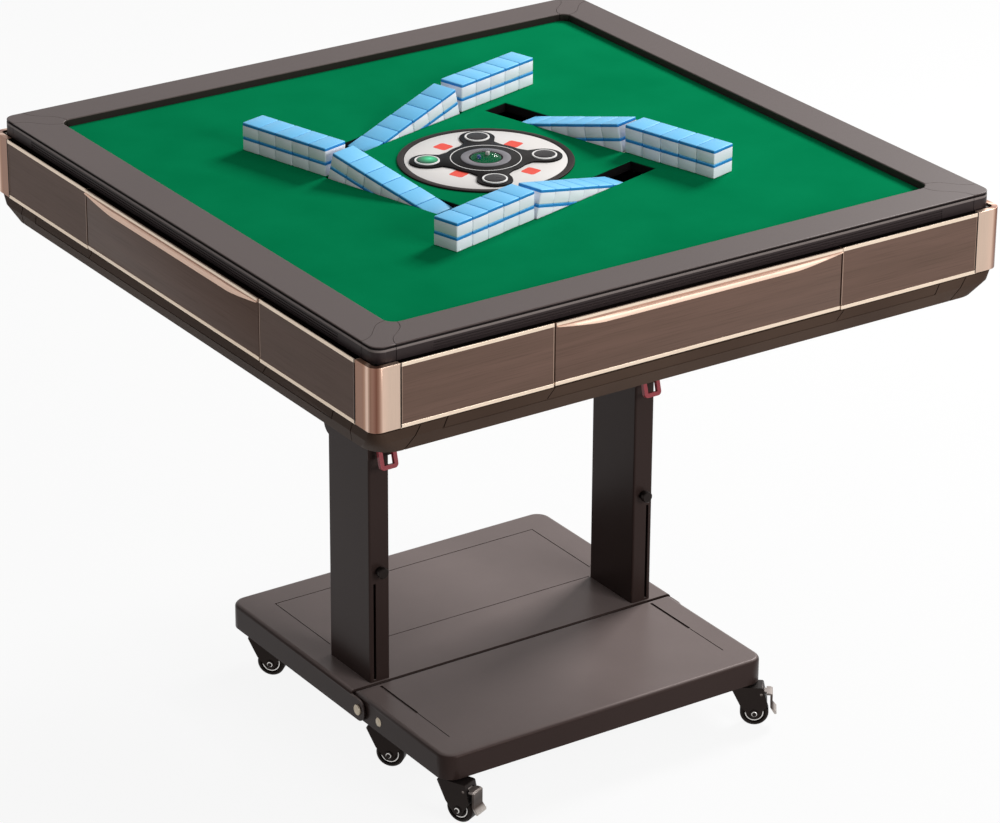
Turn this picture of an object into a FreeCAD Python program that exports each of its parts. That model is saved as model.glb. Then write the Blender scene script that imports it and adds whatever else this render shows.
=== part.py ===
"""Automatic mahjong table: a square top with a drawer in each side, on a folding stand with casters.

The origin is on the floor under the middle of the top.  X runs along the front, -Y is the front side,
where the stand's small deck folds up, and +Z is up.  Every length is in millimetres.
"""

import FreeCAD
import Part
import Sketcher
import math
import operator
import os

Vec = FreeCAD.Vector
Place = FreeCAD.Placement
Turn = FreeCAD.Rotation
EAST = Vec(1, 0, 0)
NORTH = Vec(0, 1, 0)
UP = Vec(0, 0, 1)
SIDES = ("front", "right", "back", "left")
QUARTER = 90.0
OVER = 1.0  # how far a cutting shape reaches past what it cuts

SIZES = {
    # casters
    "wheel_across": 40,
    "wheel_width": 18,
    "wheel_dish": 2.5,
    "tyre_thickness": 5,
    "axle_across": 6,
    "kingpin_across": 8,
    "kingpin_length": 4.5,
    "pin_clearance": 0.05,
    "wheel_side_gap": 0.8,
    "hood_gap": 2.5,
    "cheek_thickness": 3,
    "caster_trail": 10,
    "fork_gap": 0.5,
    "hood_back": 24,
    "hood_front": 22,
    "cheek_setback": 2,
    "washer_rim": 2,
    "wheel_bevel": 1,
    "hub_radius": 8,
    "hub_cap_proud": 2.5,
    "stem_inset": 27,
    "rear_stem_inset": 54,
    "middle_stem_lead": 44,
    "front_stem_inset": 9,
    "heading_front_left": -66,
    "heading_front_right": -37,
    "heading_middle_left": -51,
    "heading_middle_right": -45,
    "heading_rear_left": -48,
    "heading_rear_right": -40,
    "pedal_width": 22,
    "pedal_thickness": 3,
    "pedal_reach": 38,
    "pedal_toe": 20,
    "pedal_pivot_height": 50,
    "pedal_pivot_reach": 19,
    "pedal_hub_radius": 4,
    "pedal_hub_width": 12,
    "pedal_kick": 5,
    "pedal_lip": 6,
    "pedal_pin_across": 4,
    "pedal_gap": 3.5,
    "pedal_side_gap": 0.5,
    # stand
    "rail_drop": 2,
    "deck_underside": 63,
    "deck_height": 37,
    "deck_width": 540,
    "deck_back": 250,
    "deck_front": 77,
    "deck_corner": 22,
    "sheet_thickness": 3,
    "fold_radius": 6,
    "fold_pivot_lead": 18.5,
    "ear_radius": 16,
    "fold_bolt_across": 8,
    "bolt_head_across": 15,
    "bolt_head_height": 2,
    "ear_gap": 1.5,
    "front_deck_length": 229,
    "deck_seam": 2,
    "deck_heel_radius": 15,
    "deck_slot_width": 4,
    "deck_slot_length": 92,
    "deck_slot_depth": 2,
    "deck_slot_lead": 9,
    "deck_line_length": 78,
    "deck_line_width": 1.5,
    "deck_line_depth": 0.8,
    "inset_side": 48,
    "inset_back": 46,
    "inset_front": 196,
    "return_setback": 60,
    "beam_front": 60,
    "beam_back": 26,
    "rail_inset": 10,
    "rail_width": 28,
    "side_rail_width": 42,
    "crossbar_width": 44,
    "crossbar_height": 12,
    # columns
    "column_spread": 220,
    "column_width": 32,
    "column_setback": 3,
    "column_depth": 104,
    "column_length": 548,
    "column_wall": 3,
    "column_slot_width": 4,
    "column_slot_height": 150,
    "column_slot_shift": 8,
    "knob_height": 168,
    "knob_across": 16,
    "knob_reach": 12,
    "knob_pin_across": 8,
    "knob_edge": 1,
    "knob_waist": 1.5,
    # arms
    "tilt_pivot_back": 12,
    "tilt_pivot_drop": 10,
    "tilt_bolt_across": 12,
    "arm_side_gap": 0.5,
    "arm_web_gap": 1,
    "arm_wall": 3.5,
    "arm_overhang": 4,
    "arm_length": 220,
    "arm_flange": 14,
    "arm_flange_thickness": 4,
    "arm_toe_radius": 18,
    "loop_width": 28,
    "loop_height": 46,
    "loop_wire": 6,
    "loop_drop": 190,
    "loop_stand_off": 5.5,
    "loop_lean": 15,
    "loop_shift": 3,
    "loop_side_gap": 0.5,
    "loop_pin_across": 5,
    # bottom tray
    "tray_gap": 12,
    "tray_height": 34,
    "tray_lip": 5,
    "tray_corner": 14,
    "tray_facet_height": 20,
    "tray_facet_inset": 1,
    "tray_facet_corner": 20,
    "tray_foot_inset": 10,
    "tray_foot_corner": 36,
    "tray_wall": 4,
    "tray_line_half": 386,
    "tray_joint_half": 227,
    "tray_line_slant": 12,
    "tray_line_width": 1.6,
    "tray_line_depth": 1.2,
    "tray_seam_inset": 58,
    "tray_end_depth": 4,
    "tray_seam_slant": 18,
    "tray_seam_depth": 24,
    # case
    "case_half": 481,
    "case_wall": 12,
    "case_head": 13,
    "case_floor": 4,
    "cleat_width": 19,
    "cleat_height": 8,
    "drawer_opening": 440,
    "drawer_opening_height": 70,
    "guide_width": 6,
    "guide_height": 24,
    "guide_gap": 1,
    # fascia
    "fascia_thickness": 9,
    "fascia_lift": 3.5,
    "fascia_rise": 2.5,
    "cap_leg": 40,
    "cap_corner": 14,
    "panel_gap": 1.5,
    "trim_height": 5,
    "trim_proud": 0.5,
    # drawers
    "front_overlap": 3.5,
    "front_edge_gap": 1,
    "box_side_gap": 4,
    "box_depth": 165,
    "box_wall": 5,
    "box_bottom": 4,
    "box_headroom": 12,
    "box_lift": 0.4,
    "pull_height": 15.5,
    "pull_end_height": 8,
    "pull_flat_half": 160,
    "pull_proud": 4,
    "pull_band_proud": 1.5,
    "pull_rail_height": 4,
    # rim
    "rim_inset": 1,
    "rim_width": 58,
    "rim_corner": 16,
    "rim_height": 24,
    "rim_skirt": 13.2,
    "rim_wall": 14,
    "rim_edge": 1.5,
    "rim_groove_depth": 3,
    "rim_groove_height": 3,
    "rim_groove_drop": 1,
    "rib_count": 4,
    "rib_pitch": 3.4,
    "rib_lead": 2.38,
    "rib_depth": 1.2,
    "rib_groove": 1.7,
    "rib_end_block": 84,
    "seam_gap": 0.8,
    "seam_outer": 31,
    "seam_inner": 69,
    "seam_outer_pull": 34,
    "seam_inner_pull": 66,
    "seam_pull_depth": 30,
    # playing surface
    "board_gap": 0.5,
    "board_thickness": 12,
    "felt_thickness": 1,
    "wall_angle": 15.43,
    "lane_offset": 168,
    "lane_side_gap": 2,
    "lane_start": 120,
    "lane_end_gap": 4,
    "tile_length": 40,
    "tile_width": 30.3,
    "tile_height": 20,
    "tile_gap": 0.3,
    "tile_edge": 1.5,
    "level_stacks": 5,
    "ramp_stacks": 6,
    "ramp_length": 245,
    "ramp_side_gap": 1.5,
    "ramp_thickness": 6,
    "ramp_angle": 13.54,
    "ramp_sink": 1.5,
    "ramp_end_gap": 1,
    "ramp_pin_across": 3,
    "ramp_pin_reach": 4,
    # console
    "console_across": 240,
    "console_thickness": 1.5,
    "console_lip": 8.5,
    "console_hub_depth": 20,
    "console_fit": 0.5,
    "console_ring": 12,
    "disc_groove": 0.6,
    "bezel_thickness": 2.5,
    "bezel_across": 114,
    "lobe_across": 49,
    "lobe_reach": 80,
    "lobe_turn": 65,
    "lobe_neck": 34,
    "button_across": 28,
    "button_proud": 3.5,
    "button_stem_across": 16,
    "button_stem_depth": 8,
    "button_fit": 0.3,
    "button_travel": 1.5,
    "button_edge": 1.2,
    "dome_across": 45,
    "dome_height": 11,
    "dome_wall": 1.5,
}

doc = FreeCAD.newDocument("mahjong_table")
sheet = doc.addObject("Spreadsheet::Sheet", "Sizes")
for row, (alias, amount) in enumerate(SIZES.items(), start=1):
    sheet.set("A%d" % row, alias)
    sheet.set("B%d" % row, str(amount))
    sheet.setAlias("B%d" % row, alias)
doc.recompute()


# ---------------------------------------------------------------- sizes that know their own formula

class Size(float):
    """A number together with the formula that gives it from the sheet's cells."""

    def __new__(cls, value, formula):
        size = float.__new__(cls, value)
        size.formula = formula
        return size

    def __add__(self, other):
        return worked(operator.add, self, "+", other)

    def __radd__(self, other):
        return worked(operator.add, other, "+", self)

    def __sub__(self, other):
        return worked(operator.sub, self, "-", other)

    def __rsub__(self, other):
        return worked(operator.sub, other, "-", self)

    def __mul__(self, other):
        return worked(operator.mul, self, "*", other)

    def __rmul__(self, other):
        return worked(operator.mul, other, "*", self)

    def __truediv__(self, other):
        return worked(operator.truediv, self, "/", other)

    def __neg__(self):
        return worked(operator.sub, 0, "-", self)


def formula_of(value):
    return value.formula if isinstance(value, Size) else "%.9g" % value


def worked(action, left, sign, right):
    value = action(float(left), float(right))
    return Size(value, "(%s %s %s)" % (formula_of(left), sign, formula_of(right)))


class Cells:
    """Reads a size from the sheet by its alias."""

    def __getattr__(self, alias):
        return Size(float(sheet.get(alias)), "Sizes." + alias)


cell = Cells()


# ---------------------------------------------------------------- modelling helpers

nodes = []


def bind(thing, entry, value):
    """Sets one property from a size, through its formula."""
    thing.setExpression(entry, formula_of(value))


def place(thing, spot=(0, 0, 0), axis=UP, angle=0):
    """Puts a piece at a spot, turned about an axis."""
    thing.Placement = Place(Vec(*spot), Turn(axis, float(angle)))
    for letter, value in zip("xyz", spot):
        if isinstance(value, Size):
            bind(thing, "Placement.Base." + letter, value)
    if isinstance(angle, Size):
        bind(thing, "Placement.Rotation.Angle", angle)


def new_body(label):
    body = doc.addObject("PartDesign::Body", label)
    body.Label = label
    body.AllowCompound = True
    return body


def node(thing):
    """Marks a finished sub-part, whose label names its file."""
    nodes.append(thing)
    return thing


def origin_part(body, role):
    return [part for part in body.Origin.OriginFeatures if part.Role == role][0]


def sketch_on(body, role, name, lift=0):
    """A sketch on one of the body's own origin planes, moved along that plane's normal."""
    sketch = body.newObject("Sketcher::SketchObject", name)
    sketch.AttachmentSupport = [(origin_part(body, role), "")]
    sketch.MapMode = "FlatFace"
    sketch.AttachmentOffset = Place(Vec(0, 0, lift), Turn())
    if isinstance(lift, Size):
        bind(sketch, "AttachmentOffset.Base.z", lift)
    return sketch


def hold(sketch, geometry, point, across, along):
    """Dimensions one point of a sketch from the sketch's origin."""
    for kind, value in (("DistanceX", across), ("DistanceY", along)):
        number = sketch.addConstraint(Sketcher.Constraint(kind, -1, 1, geometry, point, float(value)))
        if isinstance(value, Size):
            bind(sketch, "Constraints[%d]" % number, value)


def hold_radius(sketch, geometry, radius):
    number = sketch.addConstraint(Sketcher.Constraint("Radius", geometry, float(radius)))
    if isinstance(radius, Size):
        bind(sketch, "Constraints[%d]" % number, radius)


def outline(sketch, corners):
    """A closed outline of straight lines, every corner dimensioned."""
    first = sketch.GeometryCount
    count = len(corners)
    for index in range(count):
        start = corners[index]
        end = corners[(index + 1) % count]
        sketch.addGeometry(Part.LineSegment(Vec(*start, 0), Vec(*end, 0)))
    for index, (across, along) in enumerate(corners):
        before = first + (index - 1) % count
        sketch.addConstraint(Sketcher.Constraint("Coincident", before, 2, first + index, 1))
        hold(sketch, first + index, 1, across, along)


def rectangle(sketch, left, low, right, high):
    outline(sketch, [(left, low), (right, low), (right, high), (left, high)])


def circle(sketch, across, along, radius):
    number = sketch.addGeometry(Part.Circle(Vec(across, along, 0), UP, float(radius)))
    hold(sketch, number, 3, across, along)
    hold_radius(sketch, number, radius)


def rounded_rectangle(sketch, left, low, right, high, radius):
    """A rectangle with rounded corners, its lines tangent to its arcs."""
    first = sketch.GeometryCount
    centres = ((right - radius, high - radius), (left + radius, high - radius),
               (left + radius, low + radius), (right - radius, low + radius))
    lines = (((right - radius, high), (left + radius, high)), ((left, high - radius), (left, low + radius)),
             ((left + radius, low), (right - radius, low)), ((right, low + radius), (right, high - radius)))
    for index, centre in enumerate(centres):
        start = math.radians(QUARTER * index)
        round_corner = Part.Circle(Vec(*centre, 0), UP, float(radius))
        sketch.addGeometry(Part.ArcOfCircle(round_corner, start, start + math.radians(QUARTER)))
    for start, end in lines:
        sketch.addGeometry(Part.LineSegment(Vec(*start, 0), Vec(*end, 0)))
    for index, (across, along) in enumerate(centres):
        arc = first + index
        line = first + 4 + index
        following = first + (index + 1) % 4
        sketch.addConstraint(Sketcher.Constraint("Tangent", arc, 2, line, 1))
        sketch.addConstraint(Sketcher.Constraint("Tangent", line, 2, following, 1))
        hold(sketch, arc, 3, across, along)
        hold_radius(sketch, arc, radius)


def rounded_square(sketch, half, radius):
    """A square about the sketch's origin with rounded corners."""
    rounded_rectangle(sketch, -half, -half, half, half, radius)


def pad(body, sketch, length, name, reverse=False, both=False):
    feature = body.newObject("PartDesign::Pad", name)
    feature.Profile = sketch
    bind(feature, "Length", length)
    feature.Reversed = reverse
    if both:
        feature.SideType = "Symmetric"
    return feature


def pocket(body, sketch, length, name, reverse=False, both=False):
    feature = body.newObject("PartDesign::Pocket", name)
    feature.Profile = sketch
    bind(feature, "Length", length)
    feature.Reversed = reverse
    if both:
        feature.SideType = "Symmetric"
    return feature


def spun(body, sketch, name, axis, kind="PartDesign::Revolution"):
    """Revolves a sketch a full turn about one of its body's origin axes."""
    feature = body.newObject(kind, name)
    feature.Profile = sketch
    feature.ReferenceAxis = (origin_part(body, axis), [""])
    feature.Angle = 360
    return feature


def four_times(body, features, name):
    """Repeats features round the body's vertical axis, once for each side of the table."""
    pattern = body.newObject("PartDesign::PolarPattern", name)
    pattern.Originals = features
    pattern.Axis = (origin_part(body, "Z_Axis"), [""])
    pattern.Angle = 360
    pattern.Occurrences = 4
    body.Tip = pattern
    return pattern


def edges_along(shape, direction, test):
    """Names of the straight edges that run one way and whose middle passes a test."""
    names = []
    for index, edge in enumerate(shape.Edges, start=1):
        if edge.Curve.TypeId != "Part::GeomLine":
            continue
        if abs(abs(edge.Curve.Direction.dot(direction)) - 1) < 1e-6:
            if test(edge.CenterOfMass):
                names.append("Edge%d" % index)
    return names


def round_edges(body, radius, direction, test, name):
    """Rounds chosen edges of the body as it stands."""
    doc.recompute()
    base = body.Tip
    fillet = body.newObject("PartDesign::Fillet", name)
    fillet.Base = (base, edges_along(base.Shape, direction, test))
    bind(fillet, "Radius", radius)
    return fillet


def round_rim(body, radius, level, test, name):
    """Rounds the edges that lie at one level and whose middle passes a test."""
    doc.recompute()
    base = body.Tip
    names = []
    for index, edge in enumerate(base.Shape.Edges, start=1):
        flat = all(abs(corner.Point.z - level) < 0.01 for corner in edge.Vertexes)
        if flat and test(edge.CenterOfMass):
            names.append("Edge%d" % index)
    fillet = body.newObject("PartDesign::Fillet", name)
    fillet.Base = (base, names)
    bind(fillet, "Radius", radius)
    return fillet


def rod(label, radius, length, start, axis=UP, angle=0):
    """A Part cylinder that starts at a spot and runs along its own turned Z."""
    piece = doc.addObject("Part::Cylinder", label)
    bind(piece, "Radius", radius)
    bind(piece, "Height", length)
    place(piece, start, axis, angle)
    return piece


def fused(label, pieces):
    joined = doc.addObject("Part::MultiFuse", label)
    joined.Shapes = pieces
    return joined


def cut(label, base, tool):
    result = doc.addObject("Part::Cut", label)
    result.Base = base
    result.Tool = tool
    return result


def group(label, pieces):
    """Several loose solids of one kind that make one sub-part."""
    together = doc.addObject("Part::Compound", label)
    together.Links = pieces
    return node(together)


# ---------------------------------------------------------------- levels and places that pieces share

rail_low = cell.deck_underside - cell.rail_drop
fork_top = rail_low - cell.fork_gap
deck_top = cell.deck_underside + cell.deck_height
fold_pivot_reach = cell.deck_front + cell.fold_pivot_lead
fold_pivot_z = cell.deck_underside + cell.ear_radius
front_deck_width = cell.deck_width - (cell.sheet_thickness + cell.ear_gap) * 2
front_deck_back = cell.deck_front + cell.deck_seam
front_deck_reach = front_deck_back + cell.front_deck_length
stem_spread = cell.deck_width / 2 - cell.stem_inset
rear_stem_reach = cell.deck_back - cell.rear_stem_inset
middle_stem_reach = cell.deck_front + cell.middle_stem_lead
front_stem_reach = front_deck_reach - cell.front_stem_inset
column_front = cell.deck_front - cell.column_setback
column_back = cell.column_depth - column_front
column_top = deck_top + cell.column_length
tilt_pivot_z = column_top - cell.tilt_pivot_drop
tray_bottom = column_top + cell.tray_gap
tray_top = tray_bottom + cell.tray_height
opening_low = tray_top + cell.case_floor
opening_high = opening_low + cell.drawer_opening_height
case_top = opening_high + cell.case_head
rim_top = case_top + cell.rim_height
board_top = case_top + cell.board_thickness
felt_top = board_top + cell.felt_thickness
console_top = felt_top + cell.console_thickness
fascia_low = tray_top + cell.fascia_lift
fascia_high = case_top + cell.fascia_rise
fascia_half = cell.case_half + cell.fascia_thickness
tray_half = cell.case_half + cell.tray_lip
tray_facet_half = tray_half - cell.tray_facet_inset
tray_foot_half = tray_half - cell.tray_foot_inset
front_half = cell.drawer_opening / 2 + cell.front_overlap
panel_inner_half = front_half + cell.panel_gap
box_half = cell.drawer_opening / 2 - cell.box_side_gap
rim_half = cell.case_half - cell.rim_inset
rim_opening_half = rim_half - cell.rim_width
board_half = rim_half - cell.rim_wall - cell.board_gap
wheel_radius = cell.wheel_across / 2
tile_pitch = cell.tile_width + cell.tile_gap
lane_width = cell.tile_length + cell.lane_side_gap * 2
lane_length = cell.ramp_length + cell.lane_end_gap
ramp_width = lane_width - cell.ramp_side_gap * 2
ramp_axis_z = felt_top - cell.ramp_sink - cell.ramp_thickness / 2
ramp_axis_start = cell.lane_start - cell.ramp_end_gap - cell.ramp_thickness / 2
console_hub_radius = cell.console_across / 2 - cell.console_lip
disc_radius = cell.console_across / 2 - cell.console_ring
tilt_bore = cell.tilt_bolt_across / 2 + cell.pin_clearance
fold_bore = cell.fold_bolt_across / 2 + cell.pin_clearance
kingpin_bore = cell.kingpin_across / 2 + cell.pin_clearance


# ---------------------------------------------------------------- stand: decks

def caster_bores(body, spots, depth):
    """Kingpin bores in a rail's underside, each closed above."""
    sketch = sketch_on(body, "XY_Plane", "kingpin_bores", rail_low)
    for across, along in spots:
        circle(sketch, across, along, kingpin_bore)
    pocket(body, sketch, depth, "kingpin_sockets", reverse=True)


def bolt_bores(body, half_width, along, height, radius, name):
    """Bores across the piece, from outside both sides."""
    sketch = sketch_on(body, "YZ_Plane", name + "_circle")
    circle(sketch, along, height, radius)
    pocket(body, sketch, half_width * 2, name, both=True)


def make_main_deck():
    """Folded sheet cover over the rear of the stand, open below and in front, with an ear each side."""
    body = new_body("main_deck")
    half = cell.deck_width / 2
    plan = sketch_on(body, "XY_Plane", "deck_plan", cell.deck_underside)
    rectangle(plan, -half, -cell.deck_front, half, cell.deck_back)
    pad(body, plan, cell.deck_height, "deck_block")
    round_edges(body, cell.deck_corner, UP, lambda spot: spot.y > 0, "rear_corners")
    round_rim(body, cell.fold_radius, deck_top, lambda spot: spot.y > OVER - cell.deck_front, "top_fold")
    hollow = sketch_on(body, "XY_Plane", "hollow_plan", cell.deck_underside)
    wall = cell.sheet_thickness
    rounded_rectangle(hollow, wall - half, -(cell.deck_front + cell.deck_corner), half - wall,
                      cell.deck_back - wall, cell.deck_corner - wall)
    pocket(body, hollow, cell.deck_height - wall, "hollow", reverse=True)
    deck_lines(body, half)
    ear_low = fold_pivot_z - cell.ear_radius
    ear_high = fold_pivot_z + cell.ear_radius
    for side, start in (("right", half - cell.sheet_thickness), ("left", -half)):
        ear = sketch_on(body, "YZ_Plane", side + "_ear", start)
        rectangle(ear, -fold_pivot_reach, ear_low, -cell.deck_front, ear_high)
        pad(body, ear, cell.sheet_thickness, side + "_ear_plate")
        nose = sketch_on(body, "YZ_Plane", side + "_ear_nose", start)
        circle(nose, -fold_pivot_reach, fold_pivot_z, cell.ear_radius)
        pad(body, nose, cell.sheet_thickness, side + "_ear_round")
    bolt_bores(body, half + OVER, -fold_pivot_reach, fold_pivot_z, fold_bore, "fold_bolt_bore")
    return node(body)


def deck_lines(body, half):
    """Pressed lines in the top: an inset panel open to the front and a seam behind the columns."""
    wide = cell.deck_line_width
    lines = sketch_on(body, "XY_Plane", "line_plan", deck_top)
    across = half - cell.inset_side
    back = cell.deck_back - cell.inset_back
    front = cell.deck_back - cell.inset_front
    outline(lines, [(-across, front), (wide - across, front), (wide - across, back - wide),
                    (across - wide, back - wide), (across - wide, front), (across, front), (across, back),
                    (-across, back)])
    column_inner = cell.column_spread - cell.column_width / 2
    rectangle(lines, -column_inner, column_back, column_inner, column_back + wide)
    pocket(body, lines, cell.deck_line_depth, "pressed_lines")


def make_deck_frame():
    """Welded bars under the main deck: a wide beam below the columns, two side rails and a rear bar."""
    body = new_body("deck_frame")
    half = cell.deck_width / 2
    inner_top = deck_top - cell.sheet_thickness
    rail_outer = half - cell.rail_inset
    rail_inner = rail_outer - cell.side_rail_width
    beam = sketch_on(body, "XY_Plane", "beam_plan", cell.deck_underside)
    beam_half = half - cell.sheet_thickness
    rectangle(beam, -beam_half, -cell.beam_front, beam_half, cell.beam_back)
    pad(body, beam, inner_top - cell.deck_underside, "beam")
    duct = sketch_on(body, "YZ_Plane", "beam_channel", -half)
    rectangle(duct, cell.sheet_thickness - cell.beam_front, rail_low,
              cell.beam_back - cell.sheet_thickness, inner_top - cell.sheet_thickness)
    pocket(body, duct, cell.deck_width, "channel", reverse=True)
    rails = sketch_on(body, "XY_Plane", "rail_plan", rail_low)
    front_end = middle_stem_reach + cell.rail_width / 2
    back_end = rear_stem_reach + cell.crossbar_width / 2
    rectangle(rails, -rail_outer, -front_end, -rail_inner, back_end)
    rectangle(rails, rail_inner, -front_end, rail_outer, back_end)
    rail_height = cell.kingpin_length + cell.sheet_thickness
    pad(body, rails, cell.sheet_thickness, "side_rails")
    seats = sketch_on(body, "XY_Plane", "stem_seats", rail_low)
    spots = []
    for side in (-1, 1):
        for along in (-middle_stem_reach, rear_stem_reach):
            spots.append((side * stem_spread, along))
    for across, along in spots:
        circle(seats, across, along, cell.kingpin_across)
    pad(body, seats, rail_height, "stem_bosses")
    bar = sketch_on(body, "XY_Plane", "rear_bar_plan", cell.deck_underside)
    rectangle(bar, -rail_outer, rear_stem_reach - cell.crossbar_width / 2, rail_outer, back_end)
    pad(body, bar, cell.crossbar_height, "rear_bar")
    caster_bores(body, spots, cell.kingpin_length + cell.sheet_thickness / 2)
    return node(body)


def make_front_deck():
    """The small deck that folds up: sheet metal, open below, with two slots and rounded folds."""
    body = new_body("front_deck")
    half = front_deck_width / 2
    near = -front_deck_reach
    far = -(cell.deck_front + cell.deck_seam)
    plan = sketch_on(body, "XY_Plane", "deck_plan", cell.deck_underside)
    rectangle(plan, -half, near, half, far)
    pad(body, plan, cell.deck_height, "deck_block")
    round_edges(body, cell.deck_corner, UP, lambda spot: spot.y < near + OVER, "front_corners")
    round_rim(body, cell.fold_radius, deck_top, lambda spot: True, "top_fold")
    hollow = sketch_on(body, "XY_Plane", "hollow_plan", cell.deck_underside)
    wall = cell.sheet_thickness
    rounded_rectangle(hollow, wall - half, near + wall, half - wall, far + cell.deck_corner,
                      cell.deck_corner - wall)
    pocket(body, hollow, cell.deck_height - wall, "hollow", reverse=True)
    low = float(cell.deck_underside) + OVER
    edge = float(far) - OVER
    round_edges(body, cell.deck_heel_radius, EAST, lambda spot: spot.z < low and spot.y > edge, "heels")
    slots = sketch_on(body, "XY_Plane", "slot_plan", deck_top)
    slot_far = far - cell.deck_slot_lead
    for side in (-1, 1):
        middle = side * (cell.column_spread + cell.column_slot_shift)
        rectangle(slots, middle - cell.deck_slot_width / 2, slot_far - cell.deck_slot_length,
                  middle + cell.deck_slot_width / 2, slot_far)
    pocket(body, slots, cell.deck_slot_depth, "slots")
    lines = sketch_on(body, "XY_Plane", "line_plan", deck_top)
    line_far = slot_far - cell.deck_slot_length - cell.deck_line_width
    for side in (-1, 1):
        middle = side * (cell.column_spread + cell.column_slot_shift)
        rectangle(lines, middle - cell.deck_line_width / 2, line_far - cell.deck_line_length,
                  middle + cell.deck_line_width / 2, line_far)
    pocket(body, lines, cell.deck_line_depth, "pressed_lines")
    bolt_bores(body, half + OVER, -fold_pivot_reach, fold_pivot_z, fold_bore, "fold_bolt_bore")
    return node(body)


def make_front_rail():
    """Caster bar across the front deck, with short returns along its sides."""
    body = new_body("front_rail")
    half = front_deck_width / 2 - cell.sheet_thickness
    bar = sketch_on(body, "XY_Plane", "bar_plan", rail_low)
    near = cell.sheet_thickness * 2 - front_deck_reach
    far = cell.crossbar_width - front_deck_reach
    bar_half = stem_spread + cell.kingpin_across
    rectangle(bar, -bar_half, near, bar_half, far)
    pad(body, bar, cell.crossbar_height, "bar")
    returns = sketch_on(body, "XY_Plane", "return_plan", cell.deck_underside)
    back_end = -fold_pivot_reach - cell.return_setback
    for side in (-1, 1):
        inner = side * (half - cell.rail_width / 2)
        outer = side * half
        rectangle(returns, inner, cell.deck_corner - front_deck_reach, outer, back_end)
    pad(body, returns, cell.sheet_thickness, "returns")
    spots = [(side * stem_spread, -front_stem_reach) for side in (-1, 1)]
    caster_bores(body, spots, cell.kingpin_length + cell.sheet_thickness / 2)
    return node(body)


# ---------------------------------------------------------------- stand: columns and their fittings

def make_column(side, label):
    """Rectangular steel tube with a closed top, standing on the deck."""
    body = new_body(label)
    middle = side * cell.column_spread
    half = cell.column_width / 2
    wall = cell.column_wall
    plan = sketch_on(body, "XY_Plane", "tube_plan")
    rectangle(plan, -half, -column_front, half, column_back)
    pad(body, plan, cell.column_length, "tube")
    round_edges(body, wall, UP, lambda spot: True, "tube_corners")
    inside = sketch_on(body, "XY_Plane", "bore_plan")
    rectangle(inside, wall - half, wall - column_front, half - wall, column_back - wall)
    pocket(body, inside, cell.column_length - wall, "tube_bore", reverse=True)
    slot = sketch_on(body, "XZ_Plane", "slot_outline", column_front)
    shift = side * cell.column_slot_shift
    rectangle(slot, shift - cell.column_slot_width / 2, wall, shift + cell.column_slot_width / 2,
              cell.column_slot_height)
    pocket(body, slot, wall * 2, "front_slot")
    pin_bore = sketch_on(body, "XZ_Plane", "knob_bore_circle", column_front)
    circle(pin_bore, 0, cell.knob_height, cell.knob_pin_across / 2 + cell.pin_clearance)
    pocket(body, pin_bore, wall * 2, "knob_bore")
    pivot = sketch_on(body, "YZ_Plane", "pivot_bore_circle")
    circle(pivot, cell.tilt_pivot_back, cell.column_length - cell.tilt_pivot_drop, tilt_bore)
    pocket(body, pivot, cell.column_width * 2, "pivot_bore", both=True)
    place(body, (middle, 0, deck_top))
    return node(body)


def make_pivot_bolts():
    """Shoulder bolts: one through each deck ear and one through each column and its arm."""
    bolts = []
    deck_half = cell.deck_width / 2
    head = cell.bolt_head_height
    arm_outer = cell.column_width / 2 + cell.arm_side_gap + cell.arm_wall
    for side, word in ((-1, "left"), (1, "right")):
        shank_length = cell.sheet_thickness * 3 + (cell.deck_width - front_deck_width) / 2
        outer = side * deck_half
        spot = (outer, -fold_pivot_reach, fold_pivot_z)
        shank = rod(word + "_fold_shank", cell.fold_bolt_across / 2, shank_length, spot,
                    NORTH, -side * QUARTER)
        cap = rod(word + "_fold_head", cell.bolt_head_across / 2, head, spot, NORTH, side * QUARTER)
        bolts.append(fused(word + "_fold_bolt", [shank, cap]))
        near = cell.column_spread - arm_outer
        start = (side * (near - head), cell.tilt_pivot_back, tilt_pivot_z)
        stud = rod(word + "_tilt_shank", cell.tilt_bolt_across / 2, arm_outer * 2 + head * 2, start,
                   NORTH, side * QUARTER)
        far = (side * (cell.column_spread + arm_outer), cell.tilt_pivot_back, tilt_pivot_z)
        nut = rod(word + "_tilt_head", cell.bolt_head_across / 2 + head, head * 2, far, NORTH, side * QUARTER)
        inner = (side * (near - head * 2), cell.tilt_pivot_back, tilt_pivot_z)
        washer = rod(word + "_tilt_nut", cell.bolt_head_across / 2 + head, head * 2, inner,
                     NORTH, side * QUARTER)
        bolts.append(fused(word + "_tilt_bolt", [stud, nut, washer]))
    return group("pivot_bolts", bolts)


def make_lock_knob(side, label):
    """Sprung pull knob: a waisted cap on a pin through the column's front wall."""
    body = new_body(label)
    radius = cell.knob_across / 2
    profile = sketch_on(body, "XZ_Plane", "knob_profile")
    neck = radius - cell.knob_waist
    edge = cell.knob_edge
    outline(profile, [(0, 0), (neck, 0), (neck, cell.knob_reach / 3), (radius, cell.knob_reach / 2),
                      (radius, cell.knob_reach - edge), (radius - edge, cell.knob_reach),
                      (0, cell.knob_reach)])
    spun(body, profile, "knob", "Z_Axis")
    pin = sketch_on(body, "XY_Plane", "pin_circle")
    circle(pin, 0, 0, cell.knob_pin_across / 2)
    pad(body, pin, cell.column_wall * 4, "pin", reverse=True)
    spot = (side * cell.column_spread, -column_front, deck_top + cell.knob_height)
    place(body, spot, EAST, QUARTER)
    return node(body)


# ---------------------------------------------------------------- casters

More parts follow.
